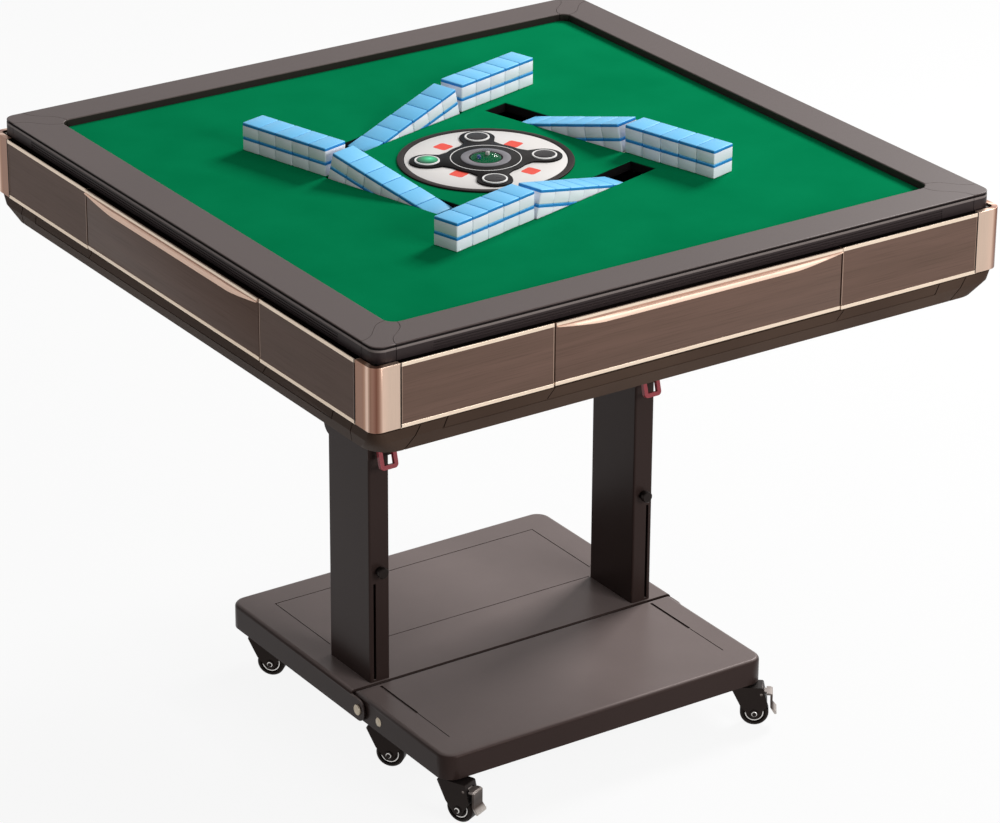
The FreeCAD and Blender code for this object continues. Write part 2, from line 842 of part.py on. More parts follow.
def make_fork(label, across, along, heading, braked):
    """Hooded fork with its axle and kingpin, turned to its resting heading; a braked one is notched."""
    body = new_body(label)
    trail = cell.caster_trail
    inner = cell.wheel_width / 2 + cell.wheel_side_gap
    outer = inner + cell.cheek_thickness
    radius = wheel_radius
    hub = cell.hub_radius
    back = cell.cheek_setback
    side_view = sketch_on(body, "XZ_Plane", "cheek_outline")
    outline(side_view, [(-cell.hood_back, fork_top), (cell.hood_front, fork_top),
                        (trail + radius - back, radius * 1.7), (trail + hub, radius - back),
                        (trail + hub / 2, radius - hub), (trail - hub / 2, radius - hub),
                        (trail - radius + back / 2, radius * 1.5)])
    pad(body, side_view, outer * 2, "hood", both=True)
    round_edges(body, cell.cheek_thickness, NORTH, lambda spot: True, "hood_corners")
    slot = sketch_on(body, "XZ_Plane", "wheel_space")
    circle(slot, trail, radius, radius + cell.hood_gap)
    pocket(body, slot, inner * 2, "wheel_well", both=True)
    axle = sketch_on(body, "XZ_Plane", "axle_circle")
    circle(axle, trail, radius, cell.axle_across / 2)
    pad(body, axle, (outer + cell.hub_cap_proud) * 2, "axle", both=True)
    for word, lift in (("near", outer), ("far", -outer - cell.hub_cap_proud / 2)):
        washer = sketch_on(body, "XZ_Plane", word + "_washer_circle", lift)
        circle(washer, trail, radius, hub - cell.washer_rim)
        pad(body, washer, cell.hub_cap_proud / 2, word + "_washer")
    stem = sketch_on(body, "XY_Plane", "kingpin_circle", fork_top)
    circle(stem, 0, 0, cell.kingpin_across / 2)
    pad(body, stem, rail_low - fork_top + cell.kingpin_length, "kingpin")
    if braked:
        notch = sketch_on(body, "XZ_Plane", "pedal_notch")
        room = cell.pedal_hub_radius + cell.pedal_side_gap
        low = cell.pedal_pivot_height - room
        rectangle(notch, cell.pedal_pivot_reach - room, low, cell.pedal_reach, low + room * 2)
        pocket(body, notch, cell.pedal_hub_width + cell.pedal_side_gap * 2, "notch", both=True)
        pin_bore = sketch_on(body, "XZ_Plane", "pedal_pin_bore")
        bore = cell.pedal_pin_across / 2 + cell.pin_clearance
        circle(pin_bore, cell.pedal_pivot_reach, cell.pedal_pivot_height, bore)
        pocket(body, pin_bore, outer * 3, "pin_bore", both=True)
    place(body, (across, along, 0), UP, heading)
    return node(body)


def make_wheel(label, across, along, heading):
    """Solid wheel turned about its axle: dished faces and a rounded tread."""
    body = new_body(label)
    half = cell.wheel_width / 2
    bore = cell.axle_across / 2 + cell.pin_clearance
    radius = wheel_radius
    web = half - cell.wheel_dish
    inner_rim = radius - cell.tyre_thickness
    shoulder = cell.wheel_dish
    hub = cell.hub_radius
    bevel = cell.wheel_bevel
    section = sketch_on(body, "YZ_Plane", "wheel_section", cell.caster_trail)
    outline(section, [(-half, radius + bore), (half, radius + bore), (half, radius + hub),
                      (web, radius + hub + bevel), (web, radius + inner_rim - bevel),
                      (half, radius + inner_rim), (half, radius * 2 - shoulder),
                      (half - shoulder, radius * 2), (shoulder - half, radius * 2),
                      (-half, radius * 2 - shoulder), (-half, radius + inner_rim),
                      (-web, radius + inner_rim - bevel), (-web, radius + hub + bevel),
                      (-half, radius + hub)])
    axis_line = section.addGeometry(Part.LineSegment(Vec(-half, radius, 0), Vec(half, radius, 0)), True)
    hold(section, axis_line, 1, -half, radius)
    hold(section, axis_line, 2, half, radius)
    wheel = body.newObject("PartDesign::Revolution", "wheel")
    wheel.Profile = section
    wheel.ReferenceAxis = (section, ["Axis0"])
    wheel.Angle = 360
    place(body, (across, along, 0), UP, heading)
    return node(body)


def make_pedal(label, across, along, heading):
    """Bent brake pedal whose hub sits on a pin between the fork's cheeks."""
    body = new_body(label)
    thick = cell.pedal_thickness
    reach = cell.pedal_reach
    high = cell.pedal_pivot_height + cell.pedal_hub_radius / 2
    start = cell.pedal_pivot_reach + cell.pedal_hub_radius + cell.pedal_gap
    bend = cell.pedal_toe + cell.pedal_kick * 2
    hub = sketch_on(body, "XZ_Plane", "hub_circle")
    circle(hub, cell.pedal_pivot_reach, cell.pedal_pivot_height, cell.pedal_hub_radius)
    pad(body, hub, cell.pedal_hub_width, "hub", both=True)
    neck = sketch_on(body, "XZ_Plane", "neck_outline")
    rectangle(neck, cell.pedal_pivot_reach, high - thick, start + OVER, high)
    pad(body, neck, cell.pedal_hub_width, "neck", both=True)
    side_view = sketch_on(body, "XZ_Plane", "pedal_outline")
    inner = reach - thick
    lip = inner + cell.pedal_lip
    outline(side_view, [(start, high), (start, high - thick), (inner - thick, high - thick),
                        (inner - thick, bend), (lip - thick, cell.pedal_toe), (lip, cell.pedal_toe),
                        (lip, cell.pedal_toe + thick), (inner, bend), (inner, high - thick / 2),
                        (inner - thick, high)])
    pad(body, side_view, cell.pedal_width, "plate", both=True)
    pin = sketch_on(body, "XZ_Plane", "pin_circle")
    circle(pin, cell.pedal_pivot_reach, cell.pedal_pivot_height, cell.pedal_pin_across / 2)
    outer = cell.wheel_width / 2 + cell.wheel_side_gap + cell.cheek_thickness
    pad(body, pin, outer * 2, "pin", both=True)
    place(body, (across, along, 0), UP, heading)
    return node(body)


def make_casters():
    rows = (("front", -front_stem_reach), ("middle", -middle_stem_reach), ("rear", rear_stem_reach))
    for row, along in rows:
        for hand, side in (("left", -1), ("right", 1)):
            word = row + "_" + hand
            across = side * stem_spread
            heading = getattr(cell, "heading_" + word)
            braked = row == "front"
            make_fork("caster_fork_" + word, across, along, heading, braked)
            make_wheel("caster_wheel_" + word, across, along, heading)
            if braked:
                make_pedal("brake_pedal_" + hand, across, along, heading)


# ---------------------------------------------------------------- tabletop: arms and release loops

def make_arm(side, label):
    """Channel that straddles a column: web in front, open behind, flanged under the tray."""
    body = new_body(label)
    inner = cell.column_width / 2 + cell.arm_side_gap
    outer = inner + cell.arm_wall
    web_back = column_front + cell.arm_web_gap
    web_front = web_back + cell.arm_wall
    arm_back = column_back + cell.arm_overhang
    plan = sketch_on(body, "XY_Plane", "channel_plan")
    outline(plan, [(-outer, -web_front), (outer, -web_front), (outer, arm_back), (inner, arm_back),
                   (inner, -web_back), (-inner, -web_back), (-inner, arm_back), (-outer, arm_back)])
    pad(body, plan, cell.arm_length, "channel", reverse=True)
    toe = -float(cell.arm_length) / 2
    round_edges(body, cell.arm_toe_radius, EAST, lambda spot: spot.z < toe and spot.y > 0, "toes")
    flanges = sketch_on(body, "XY_Plane", "flange_plan")
    rectangle(flanges, outer, -web_front, outer + cell.arm_flange, arm_back)
    rectangle(flanges, -outer - cell.arm_flange, -web_front, -outer, arm_back)
    pad(body, flanges, cell.arm_flange_thickness, "flanges", reverse=True)
    hinge_y = -(web_front + cell.loop_stand_off)
    lug_reach = cell.loop_stand_off + cell.loop_pin_across
    middle = -side * cell.loop_shift
    lugs = sketch_on(body, "XY_Plane", "lug_plan", -(cell.loop_drop - cell.loop_pin_across))
    for hand in (-1, 1):
        near = middle + hand * (cell.loop_width / 2 + cell.loop_side_gap)
        rectangle(lugs, near, -(web_front + lug_reach), near + hand * cell.arm_wall, -web_front)
    pad(body, lugs, cell.loop_pin_across * 2, "loop_lugs", reverse=True)
    pins = sketch_on(body, "YZ_Plane", "loop_pin_circle")
    circle(pins, hinge_y, -cell.loop_drop, cell.loop_pin_across / 2 + cell.pin_clearance)
    pocket(body, pins, outer * 3, "loop_pin_bores", both=True)
    bore = sketch_on(body, "YZ_Plane", "tilt_bore_circle")
    circle(bore, cell.tilt_pivot_back, -(cell.tray_gap + cell.tilt_pivot_drop), tilt_bore)
    pocket(body, bore, outer * 3, "tilt_bore", both=True)
    place(body, (side * cell.column_spread, 0, tray_bottom))
    return node(body)


def make_release_loop(side, label):
    """Pull handle bent from thick wire, hung on pins between the arm's lugs."""
    body = new_body(label)
    half = cell.loop_width / 2
    wire = cell.loop_wire
    high = wire / 2
    low = high - cell.loop_height
    ring = sketch_on(body, "XZ_Plane", "loop_outline")
    rectangle(ring, -half, low, half, high)
    rectangle(ring, wire - half, low + wire, half - wire, high - wire)
    pad(body, ring, wire, "loop", both=True)
    round_edges(body, wire, NORTH, lambda spot: abs(spot.x) > half - OVER, "bends")
    pin = sketch_on(body, "YZ_Plane", "pin_circle")
    circle(pin, 0, 0, cell.loop_pin_across / 2)
    reach = half + cell.loop_side_gap + cell.arm_wall
    pad(body, pin, reach * 2, "pins", both=True)
    web_front = column_front + cell.arm_web_gap + cell.arm_wall
    across = side * (cell.column_spread - cell.loop_shift)
    spot = (across, -(web_front + cell.loop_stand_off), tray_bottom - cell.loop_drop)
    place(body, spot, EAST, -cell.loop_lean)
    return node(body)


# ---------------------------------------------------------------- tabletop: tray and case

def make_tray():
    """Moulded bottom cover: faceted sides drawn in towards a big-cornered foot, lined into parts."""
    body = new_body("bottom_tray")
    facet = tray_bottom + cell.tray_facet_height
    sections = []
    for word, level, half, corner in (("rim", tray_top, tray_half, cell.tray_corner),
                                      ("facet", facet, tray_facet_half, cell.tray_facet_corner),
                                      ("foot", tray_bottom, tray_foot_half, cell.tray_foot_corner)):
        section = sketch_on(body, "XY_Plane", word + "_outline", level)
        rounded_square(section, half, corner)
        sections.append(section)
    shell = body.newObject("PartDesign::AdditiveLoft", "shell")
    shell.Profile = sections[0]
    shell.Sections = sections[1:]
    shell.Ruled = True
    inside = sketch_on(body, "XY_Plane", "inside_outline", tray_top)
    rounded_square(inside, tray_foot_half - cell.tray_wall, cell.tray_foot_corner)
    pocket(body, inside, cell.tray_height - cell.tray_wall, "inside")
    wide = cell.tray_line_width
    line = sketch_on(body, "XZ_Plane", "joint_line_outline", tray_half + OVER)
    rectangle(line, -cell.tray_line_half, facet - wide / 2, cell.tray_line_half + wide, facet + wide / 2)
    depth = tray_half + OVER - tray_facet_half + cell.tray_line_depth
    joint = pocket(body, line, depth, "joint_line")
    slants = sketch_on(body, "XZ_Plane", "slant_outlines", tray_half + OVER)
    run = cell.tray_line_slant
    for hand in (-1, 1):
        slanted_line(slants, hand * cell.tray_joint_half - run / 2, facet, run, tray_top, wide)
    slanted = pocket(body, slants, depth, "slants")
    ends = sketch_on(body, "XZ_Plane", "end_outlines", tray_half + OVER)
    for hand in (-1, 1):
        slanted_line(ends, hand * cell.tray_line_half, facet - wide / 2, run / 2, tray_top, wide)
    end_lines = pocket(body, ends, depth + cell.tray_end_depth, "end_slants")
    seams = sketch_on(body, "XZ_Plane", "seam_outlines", tray_half + OVER)
    run = cell.tray_seam_slant
    for hand in (-1, 1):
        middle = hand * (tray_half - cell.tray_seam_inset)
        slanted_line(seams, middle - run / 2, tray_bottom, run, tray_top, wide)
    seam = pocket(body, seams, depth + cell.tray_seam_depth, "corner_seams")
    four_times(body, [joint, slanted, end_lines, seam], "lines_all_round")
    return node(body)


def slanted_line(sketch, start, low, run, high, wide):
    """Outline of a line of even width that leans to the right as it rises."""
    outline(sketch, [(start, low), (start + wide, low), (start + run + wide, high), (start + run, high)])


def make_case():
    """Square wooden case: a floor and four walls, a window in each wall and drawer guides on the floor."""
    body = new_body("case")
    inner = cell.case_half - cell.case_wall
    plan = sketch_on(body, "XY_Plane", "case_plan", tray_top)
    rectangle(plan, -cell.case_half, -cell.case_half, cell.case_half, cell.case_half)
    pad(body, plan, case_top - tray_top, "block")
    hollow = sketch_on(body, "XY_Plane", "hollow_plan", opening_low)
    rectangle(hollow, -inner, -inner, inner, inner)
    pocket(body, hollow, case_top - tray_top, "hollow", reverse=True)
    cleat = sketch_on(body, "XY_Plane", "cleat_plan", case_top)
    ledge = inner - cell.cleat_width
    rectangle(cleat, -inner, -inner, inner, inner)
    rectangle(cleat, -ledge, -ledge, ledge, ledge)
    pad(body, cleat, cell.cleat_height, "cleats", reverse=True)
    for role in ("XZ_Plane", "YZ_Plane"):
        window = sketch_on(body, role, "windows_" + role[:2])
        half = cell.drawer_opening / 2
        rectangle(window, -half, opening_low, half, opening_high)
        pocket(body, window, cell.case_half * 3, "window_pair_" + role[:2], both=True)
    guide = sketch_on(body, "XY_Plane", "guide_plan", opening_low)
    for hand in (-1, 1):
        near = hand * (box_half + cell.guide_gap)
        far = near + hand * cell.guide_width
        rectangle(guide, near, cell.box_depth / 4 - inner, far, cell.box_depth - cell.case_half)
    guides = pad(body, guide, cell.guide_height, "guides")
    four_times(body, [guides], "guides_all_round")
    return node(body)


# ---------------------------------------------------------------- tabletop: fascia

def make_corner_caps():
    body = new_body("corner_caps")
    inner = cell.case_half
    end = fascia_half - cell.cap_leg
    plan = sketch_on(body, "XY_Plane", "cap_plan", fascia_low)
    outline(plan, [(end, -fascia_half), (fascia_half, -fascia_half), (fascia_half, -end), (inner, -end),
                   (inner, -inner), (end, -inner)])
    block = pad(body, plan, fascia_high - fascia_low, "cap")
    outermost = float(fascia_half) - OVER
    corner = round_edges(body, cell.cap_corner, UP, lambda spot: min(spot.x, -spot.y) > outermost, "corner")
    four_times(body, [block, corner], "caps_all_round")
    return node(body)


def fascia_strips(body, name, low, high, proud):
    """Two strips on the front side, between the corner caps and the drawer, repeated on each side."""
    plan = sketch_on(body, "XY_Plane", name + "_plan", low)
    end = fascia_half - cell.cap_leg
    for hand in (-1, 1):
        rectangle(plan, hand * end, -(fascia_half + proud), hand * panel_inner_half, -cell.case_half)
    return pad(body, plan, high - low, name)


def make_side_panels():
    body = new_body("side_panels")
    low = fascia_low + cell.trim_height
    panels = fascia_strips(body, "panels", low, fascia_high - cell.trim_height, 0)
    four_times(body, [panels], "panels_all_round")
    return node(body)


def make_panel_trims():
    body = new_body("panel_trims")
    lower = fascia_strips(body, "lower", fascia_low, fascia_low + cell.trim_height, cell.trim_proud)
    upper = fascia_strips(body, "upper", fascia_high - cell.trim_height, fascia_high, cell.trim_proud)
    four_times(body, [lower, upper], "trims_all_round")
    return node(body)


# ---------------------------------------------------------------- drawers

def make_drawer_box(side, turn):
    body = new_body(side + "_drawer_box")
    half = box_half
    back = cell.box_depth - cell.case_half
    low = opening_low + cell.box_lift
    height = cell.drawer_opening_height - cell.box_headroom
    plan = sketch_on(body, "XY_Plane", "box_plan", low)
    rectangle(plan, -half, -cell.case_half, half, back)
    pad(body, plan, height, "block")
    inside = sketch_on(body, "XY_Plane", "inside_plan", low + cell.box_bottom)
    wall = cell.box_wall
    rectangle(inside, wall - half, wall - cell.case_half, half - wall, back - wall)
    pocket(body, inside, height, "inside", reverse=True)
    place(body, (0, 0, 0), UP, turn)
    return node(body)


def make_drawer_face(side, turn):
    """Drawer front with the bronze pull along its top edge, grooved for the fingers."""
    body = new_body(side + "_drawer_face")
    half = front_half
    high = fascia_high
    plan = sketch_on(body, "XY_Plane", "face_plan", fascia_low + cell.front_edge_gap)
    rectangle(plan, -half, -fascia_half, half, -cell.case_half)
    pad(body, plan, high - fascia_low - cell.front_edge_gap, "face")
    pull = sketch_on(body, "XZ_Plane", "pull_outline", fascia_half)
    flat = cell.pull_flat_half
    low = high - cell.pull_height
    end_low = high - cell.pull_end_height
    outline(pull, [(-half, end_low), (-flat, low), (flat, low), (half, end_low), (half, high), (-half, high)])
    pad(body, pull, cell.pull_proud, "pull")
    band = sketch_on(body, "XZ_Plane", "band_outline", fascia_half + cell.pull_proud)
    rail = cell.pull_rail_height
    outline(band, [(-flat, low + rail), (flat, low + rail), (half - rail, high - rail),
                   (rail - half, high - rail)])
    pocket(body, band, cell.pull_proud - cell.pull_band_proud, "finger_groove")
    place(body, (0, 0, 0), UP, turn)
    return node(body)


# ---------------------------------------------------------------- rim

def make_rim():
    """Rim ring, cut along an S-shaped seam near each corner into four rails and four corner pieces."""
    body = new_body("rim_ring")
    outer = sketch_on(body, "XY_Plane", "rim_outline", case_top)
    rounded_square(outer, rim_half, cell.rim_corner)
    pad(body, outer, cell.rim_height, "rim_block")
    opening = sketch_on(body, "XY_Plane", "opening_outline", case_top)
    rounded_square(opening, rim_opening_half, cell.rim_corner)
    pocket(body, opening, cell.rim_height, "opening", reverse=True)
    round_rim(body, cell.rim_edge, rim_top, lambda spot: True, "softened_top")
    step = sketch_on(body, "XY_Plane", "step_outline", case_top)
    rounded_square(step, rim_half - cell.rim_wall, cell.rim_edge)
    pocket(body, step, cell.rim_skirt, "underside_step", reverse=True)
    groove_low = rim_top - cell.rim_groove_drop - cell.rim_groove_height
    ring = sketch_on(body, "XY_Plane", "groove_outline", groove_low)
    rounded_square(ring, rim_half + OVER, cell.rim_corner + OVER)
    rounded_square(ring, rim_half - cell.rim_groove_depth, cell.rim_corner - cell.rim_groove_depth)
    pocket(body, ring, cell.rim_groove_height, "shadow_groove", reverse=True)
    ribs = sketch_on(body, "XZ_Plane", "rib_outlines", rim_half + OVER)
    half = rim_half - cell.rib_end_block
    for number in range(int(cell.rib_count)):
        low = case_top + cell.rib_lead + cell.rib_pitch * number
        rectangle(ribs, -half, low, half, low + cell.rib_groove)
    grooves = pocket(body, ribs, cell.rib_depth + OVER, "rib_grooves")
    four_times(body, [grooves], "ribs_all_round")
    knife = doc.addObject("Part::Feature", "rail_knife")
    knife.Shape = seam_knife(0)
    rails = cut("rim_rails", body, knife)
    knife = doc.addObject("Part::Feature", "corner_knife")
    knife.Shape = seam_knife(float(cell.seam_gap))
    corners = doc.addObject("Part::Common", "rim_corners")
    corners.Base = body
    corners.Tool = knife
    return node(rails), node(corners)


def seam_knife(drawn_in):
    """Four upright prisms over the corners; each bounding seam is a Bezier curve through the rim.

    The seams may be drawn in towards the corners, which leaves a gap beside the rails.
    """
    spare = 5.0
    depth = float(rim_half - rim_opening_half)
    outer_run = float(cell.seam_outer) - drawn_in
    inner_run = float(cell.seam_inner) - drawn_in
    pull_depth = float(cell.seam_pull_depth)
    poles = [(outer_run, 0), (float(cell.seam_outer_pull) - drawn_in, pull_depth),
             (float(cell.seam_inner_pull) - drawn_in, depth - pull_depth), (inner_run, depth)]

    def spot(along, inward):
        half = float(rim_half)
        return Vec(half - along, inward - half, float(case_top) - OVER)

    first = Part.BezierCurve()
    first.setPoles([spot(along, inward) for along, inward in poles])
    second = Part.BezierCurve()
    second.setPoles([spot(inward, along) for along, inward in reversed(poles)])
    stations = [spot(inner_run, depth), spot(inner_run, inner_run), spot(depth, inner_run)]
    outside = [spot(0, outer_run), spot(-spare, outer_run), spot(-spare, -spare), spot(outer_run, -spare),
               spot(outer_run, 0)]
    edges = [first.toShape()]
    edges += [Part.makeLine(start, end) for start, end in zip(stations, stations[1:])]
    edges.append(second.toShape())
    edges += [Part.makeLine(start, end) for start, end in zip(outside, outside[1:])]
    face = Part.Face(Part.Wire(Part.__sortEdges__(edges)))
    prism = face.extrude(Vec(0, 0, float(cell.rim_height) + OVER * 2))
    prisms = []
    for quarter in range(4):
        turned = prism.copy()
        turned.rotate(Vec(0, 0, 0), UP, QUARTER * quarter)
        prisms.append(turned)
    return Part.makeCompound(prisms)


# ---------------------------------------------------------------- playing surface, walls of tiles, ramps

def make_surface(label, low, thickness, pinned):
    """Square sheet with a lane through it for each tile wall and a round hole for the console.

    The piece is drawn square to the lanes and turned by its Placement, so its outline is turned back.
    """
    body = new_body(label)
    plan = sketch_on(body, "XY_Plane", "sheet_plan", low)
    plan.AttachmentOffset = Place(Vec(0, 0, low), Turn(UP, -float(cell.wall_angle)))
    bind(plan, "AttachmentOffset.Rotation.Angle", 0 - cell.wall_angle)
    half = board_half
    rectangle(plan, -half, -half, half, half)
    pad(body, plan, thickness, "sheet")
    hole = sketch_on(body, "XY_Plane", "console_hole_circle", low)
    circle(hole, 0, 0, console_hub_radius + cell.console_fit)
    pocket(body, hole, thickness, "console_hole", reverse=True)
    lane = sketch_on(body, "XY_Plane", "lane_plan", low)
    near = cell.lane_offset - lane_width / 2
    rectangle(lane, -cell.lane_start, -near - lane_width, lane_length - cell.lane_start, -near)
    features = [pocket(body, lane, thickness, "lane", reverse=True)]
    if pinned:
        pins = sketch_on(body, "XZ_Plane", "ramp_pin_circle", cell.lane_offset)
        circle(pins, -ramp_axis_start, ramp_axis_z, cell.ramp_pin_across / 2 + cell.pin_clearance)
        bore = ramp_width + cell.ramp_pin_reach * 2 + OVER
        features.append(pocket(body, pins, bore, "ramp_pin_bores", both=True))
    four_times(body, features, "lanes_all_round")
    place(body, (0, 0, 0), UP, cell.wall_angle)
    return node(body)


def tile_block():
    """One tile lying on its back, its edges chamfered, with its lowest corner at the origin."""
    tile = Part.makeBox(float(cell.tile_width), float(cell.tile_length), float(cell.tile_height))
    return tile.makeChamfer(float(cell.tile_edge), tile.Edges)


def tile_stacks(count, start, base):
    """Stacks two tiles high, side by side along X from a start, centred on the lane."""
    tile = tile_block()
    tiles = []
    for number in range(count):
        for layer in range(2):
            spot = Vec(start + number * float(tile_pitch),
                       -float(cell.lane_offset) - float(cell.tile_length) / 2,
                       base + layer * float(cell.tile_height))
            copy = tile.copy()
            copy.translate(spot)
            tiles.append(copy)
    return tiles


def make_level_tiles():
    """The level half of each wall of tiles, standing on the felt behind its ramp."""
    count = int(cell.level_stacks)
    start = -float(cell.lane_start) - float(tile_pitch) * count
    tiles = []
    for quarter in range(4):
        for tile in tile_stacks(count, start, float(felt_top)):
            tile.rotate(Vec(0, 0, 0), UP, float(cell.wall_angle) + QUARTER * quarter)
            tiles.append(tile)
    piece = doc.addObject("Part::Feature", "level_tiles")
    piece.Shape = Part.makeCompound(tiles)
    return node(piece)


def make_ramp(side, turn):
    """Lift tray of a lane: a plate with a rounded hinge end and stub pins, resting with its end down."""
    body = new_body(side + "_ramp")
    half = cell.ramp_thickness / 2
    nose = half / 2
    near = cell.lane_offset - ramp_width / 2
    profile = sketch_on(body, "XZ_Plane", "ramp_profile")
    tilt_sketch(profile, near)
    end = cell.ramp_length - half
    outline(profile, [(-nose, half), (-half, nose), (-half, -nose), (-nose, -half), (end - half, -half),
                      (end, nose), (end, half)])
    pad(body, profile, ramp_width, "plate")
    pins = sketch_on(body, "XZ_Plane", "pin_circle")
    tilt_sketch(pins, near - cell.ramp_pin_reach)
    circle(pins, 0, 0, cell.ramp_pin_across / 2)
    pad(body, pins, ramp_width + cell.ramp_pin_reach * 2, "pins")
    place(body, (0, 0, 0), UP, turn)
    return node(body)


def tilt_sketch(sketch, lift):
    """Moves a sketch on the XZ plane to the ramp's hinge and turns it to the ramp's resting slope."""
    spot = (-ramp_axis_start, ramp_axis_z, lift)
    sketch.AttachmentOffset = Place(Vec(*spot), Turn(UP, -float(cell.ramp_angle)))
    for letter, value in zip("xyz", spot):
        bind(sketch, "AttachmentOffset.Base." + letter, value)
    bind(sketch, "AttachmentOffset.Rotation.Angle", 0 - cell.ramp_angle)


def make_ramp_tiles(side, turn):
    """The sloping half of a wall of tiles, lying on its ramp."""
    axis_spot = Vec(-float(ramp_axis_start), 0, float(ramp_axis_z))
    start = axis_spot.x - float(cell.ramp_end_gap)
    tiles = tile_stacks(int(cell.ramp_stacks), start, axis_spot.z + float(cell.ramp_thickness) / 2)
    for tile in tiles:
        tile.rotate(axis_spot, NORTH, float(cell.ramp_angle))
    piece = doc.addObject("Part::Feature", side + "_ramp_tiles")
    piece.Shape = Part.makeCompound(tiles)
    piece.Placement = Place(Vec(0, 0, 0), Turn(UP, float(turn)))
    return node(piece)


# ---------------------------------------------------------------- console

def make_console():
    """Round console plate flush with the felt, the four-lobed bezel on it, and the dice dome."""
    plate = new_body("console_disc")
    rim = sketch_on(plate, "XY_Plane", "rim_circle", felt_top)
    circle(rim, 0, 0, cell.console_across / 2)
    pad(plate, rim, cell.console_thickness, "rim")
    hub = sketch_on(plate, "XY_Plane", "hub_circle", felt_top)
    circle(hub, 0, 0, console_hub_radius)
    pad(plate, hub, cell.console_hub_depth, "hub", reverse=True)
    ring = sketch_on(plate, "XY_Plane", "ring_circles", console_top)
    circle(ring, 0, 0, disc_radius)
    circle(ring, 0, 0, disc_radius - cell.disc_groove)
    pocket(plate, ring, cell.disc_groove, "disc_groove")
    wells = sketch_on(plate, "XY_Plane", "stem_well_circle", console_top)
    circle(wells, cell.lobe_reach, 0, cell.button_stem_across / 2 + cell.button_fit)
    well = pocket(plate, wells, cell.button_stem_depth + cell.button_travel * 2, "stem_well")
    four_times(plate, [well], "stem_wells")
    place(plate, (0, 0, 0), UP, cell.lobe_turn)
    return node(plate)


def make_bezel():
    """Dark plate on the console: a round core with four lobes on short necks, a button bore in each."""
    body = new_body("console_bezel")
    thick = cell.bezel_thickness
    core = sketch_on(body, "XY_Plane", "core_circle", console_top)
    circle(core, 0, 0, cell.bezel_across / 2)
    pad(body, core, thick, "core")
    neck_plan = sketch_on(body, "XY_Plane", "neck_plan", console_top)
    rectangle(neck_plan, 0, -cell.lobe_neck / 2, cell.lobe_reach, cell.lobe_neck / 2)
    neck = pad(body, neck_plan, thick, "neck")
    lobe_plan = sketch_on(body, "XY_Plane", "lobe_circle", console_top)
    circle(lobe_plan, cell.lobe_reach, 0, cell.lobe_across / 2)
    lobe = pad(body, lobe_plan, thick, "lobe")
    four_times(body, [neck, lobe], "lobes")
    bore = sketch_on(body, "XY_Plane", "button_bore_circle", console_top)
    circle(bore, cell.lobe_reach, 0, cell.button_across / 2 + cell.button_fit)
    button_bore = pocket(body, bore, thick, "button_bore", reverse=True)
    four_times(body, [button_bore], "button_bores")
    place(body, (0, 0, 0), UP, cell.lobe_turn)
    return node(body)


def make_button(word, turn):
    """Round push button: a domed-edge cap over a short stem."""
    body = new_body("button_" + word)
    low = console_top + cell.button_travel + cell.button_fit
    high = console_top + cell.bezel_thickness + cell.button_proud
    cap = sketch_on(body, "XY_Plane", "cap_circle", low)
    circle(cap, cell.lobe_reach, 0, cell.button_across / 2)
    pad(body, cap, high - low, "cap")
    round_rim(body, cell.button_edge, high, lambda spot: True, "cap_edge")
    stem = sketch_on(body, "XY_Plane", "stem_circle", low)
    circle(stem, cell.lobe_reach, 0, cell.button_stem_across / 2)
    pad(body, stem, cell.button_stem_depth, "stem", reverse=True)
    place(body, (0, 0, 0), UP, turn)
    return node(body)


def make_dice_dome():
    """Clear dome over the dice: a thin spherical shell with a flat foot ring."""
    body = new_body("dice_dome")
    foot = console_top + cell.bezel_thickness
    radius = cell.dome_across / 2
    rise = cell.dome_height
    wall = cell.dome_wall
    outer = sketch_on(body, "XZ_Plane", "dome_outer")
    ball = (radius * radius + rise * rise) / (rise * 2)
    dome_section(outer, foot, radius, rise, ball)
    spun(body, outer, "dome", "Z_Axis")
    inner = sketch_on(body, "XZ_Plane", "dome_inner")
    hollow = radius - wall
    hollow_rise = rise - wall
    hollow_ball = (hollow * hollow + hollow_rise * hollow_rise) / (hollow_rise * 2)
    dome_section(inner, foot, hollow, hollow_rise, hollow_ball)
    spun(body, inner, "dome_hollow", "Z_Axis", "PartDesign::Groove")
    return node(body)


def dome_section(sketch, foot, radius, rise, ball):
    """Half section of a spherical cap: base line, axis line and the arc between them."""
    middle = foot + rise - ball
    start = math.atan2(float(foot - middle), float(radius))
    sketch.addGeometry(Part.LineSegment(Vec(0, foot, 0), Vec(radius, foot, 0)))
    sphere = Part.Circle(Vec(0, middle, 0), UP, float(ball))
    sketch.addGeometry(Part.ArcOfCircle(sphere, start, math.radians(QUARTER)))
    sketch.addGeometry(Part.LineSegment(Vec(0, foot + rise, 0), Vec(0, foot, 0)))
    sketch.addConstraint(Sketcher.Constraint("Coincident", 0, 2, 1, 1))
    sketch.addConstraint(Sketcher.Constraint("Coincident", 1, 2, 2, 1))
    sketch.addConstraint(Sketcher.Constraint("Coincident", 2, 2, 0, 1))
    hold(sketch, 0, 1, 0, foot)
    hold(sketch, 0, 2, radius, foot)
    hold(sketch, 1, 3, 0, middle)
    sketch.addConstraint(Sketcher.Constraint("PointOnObject", 2, 1, -2))


# ---------------------------------------------------------------- assembly

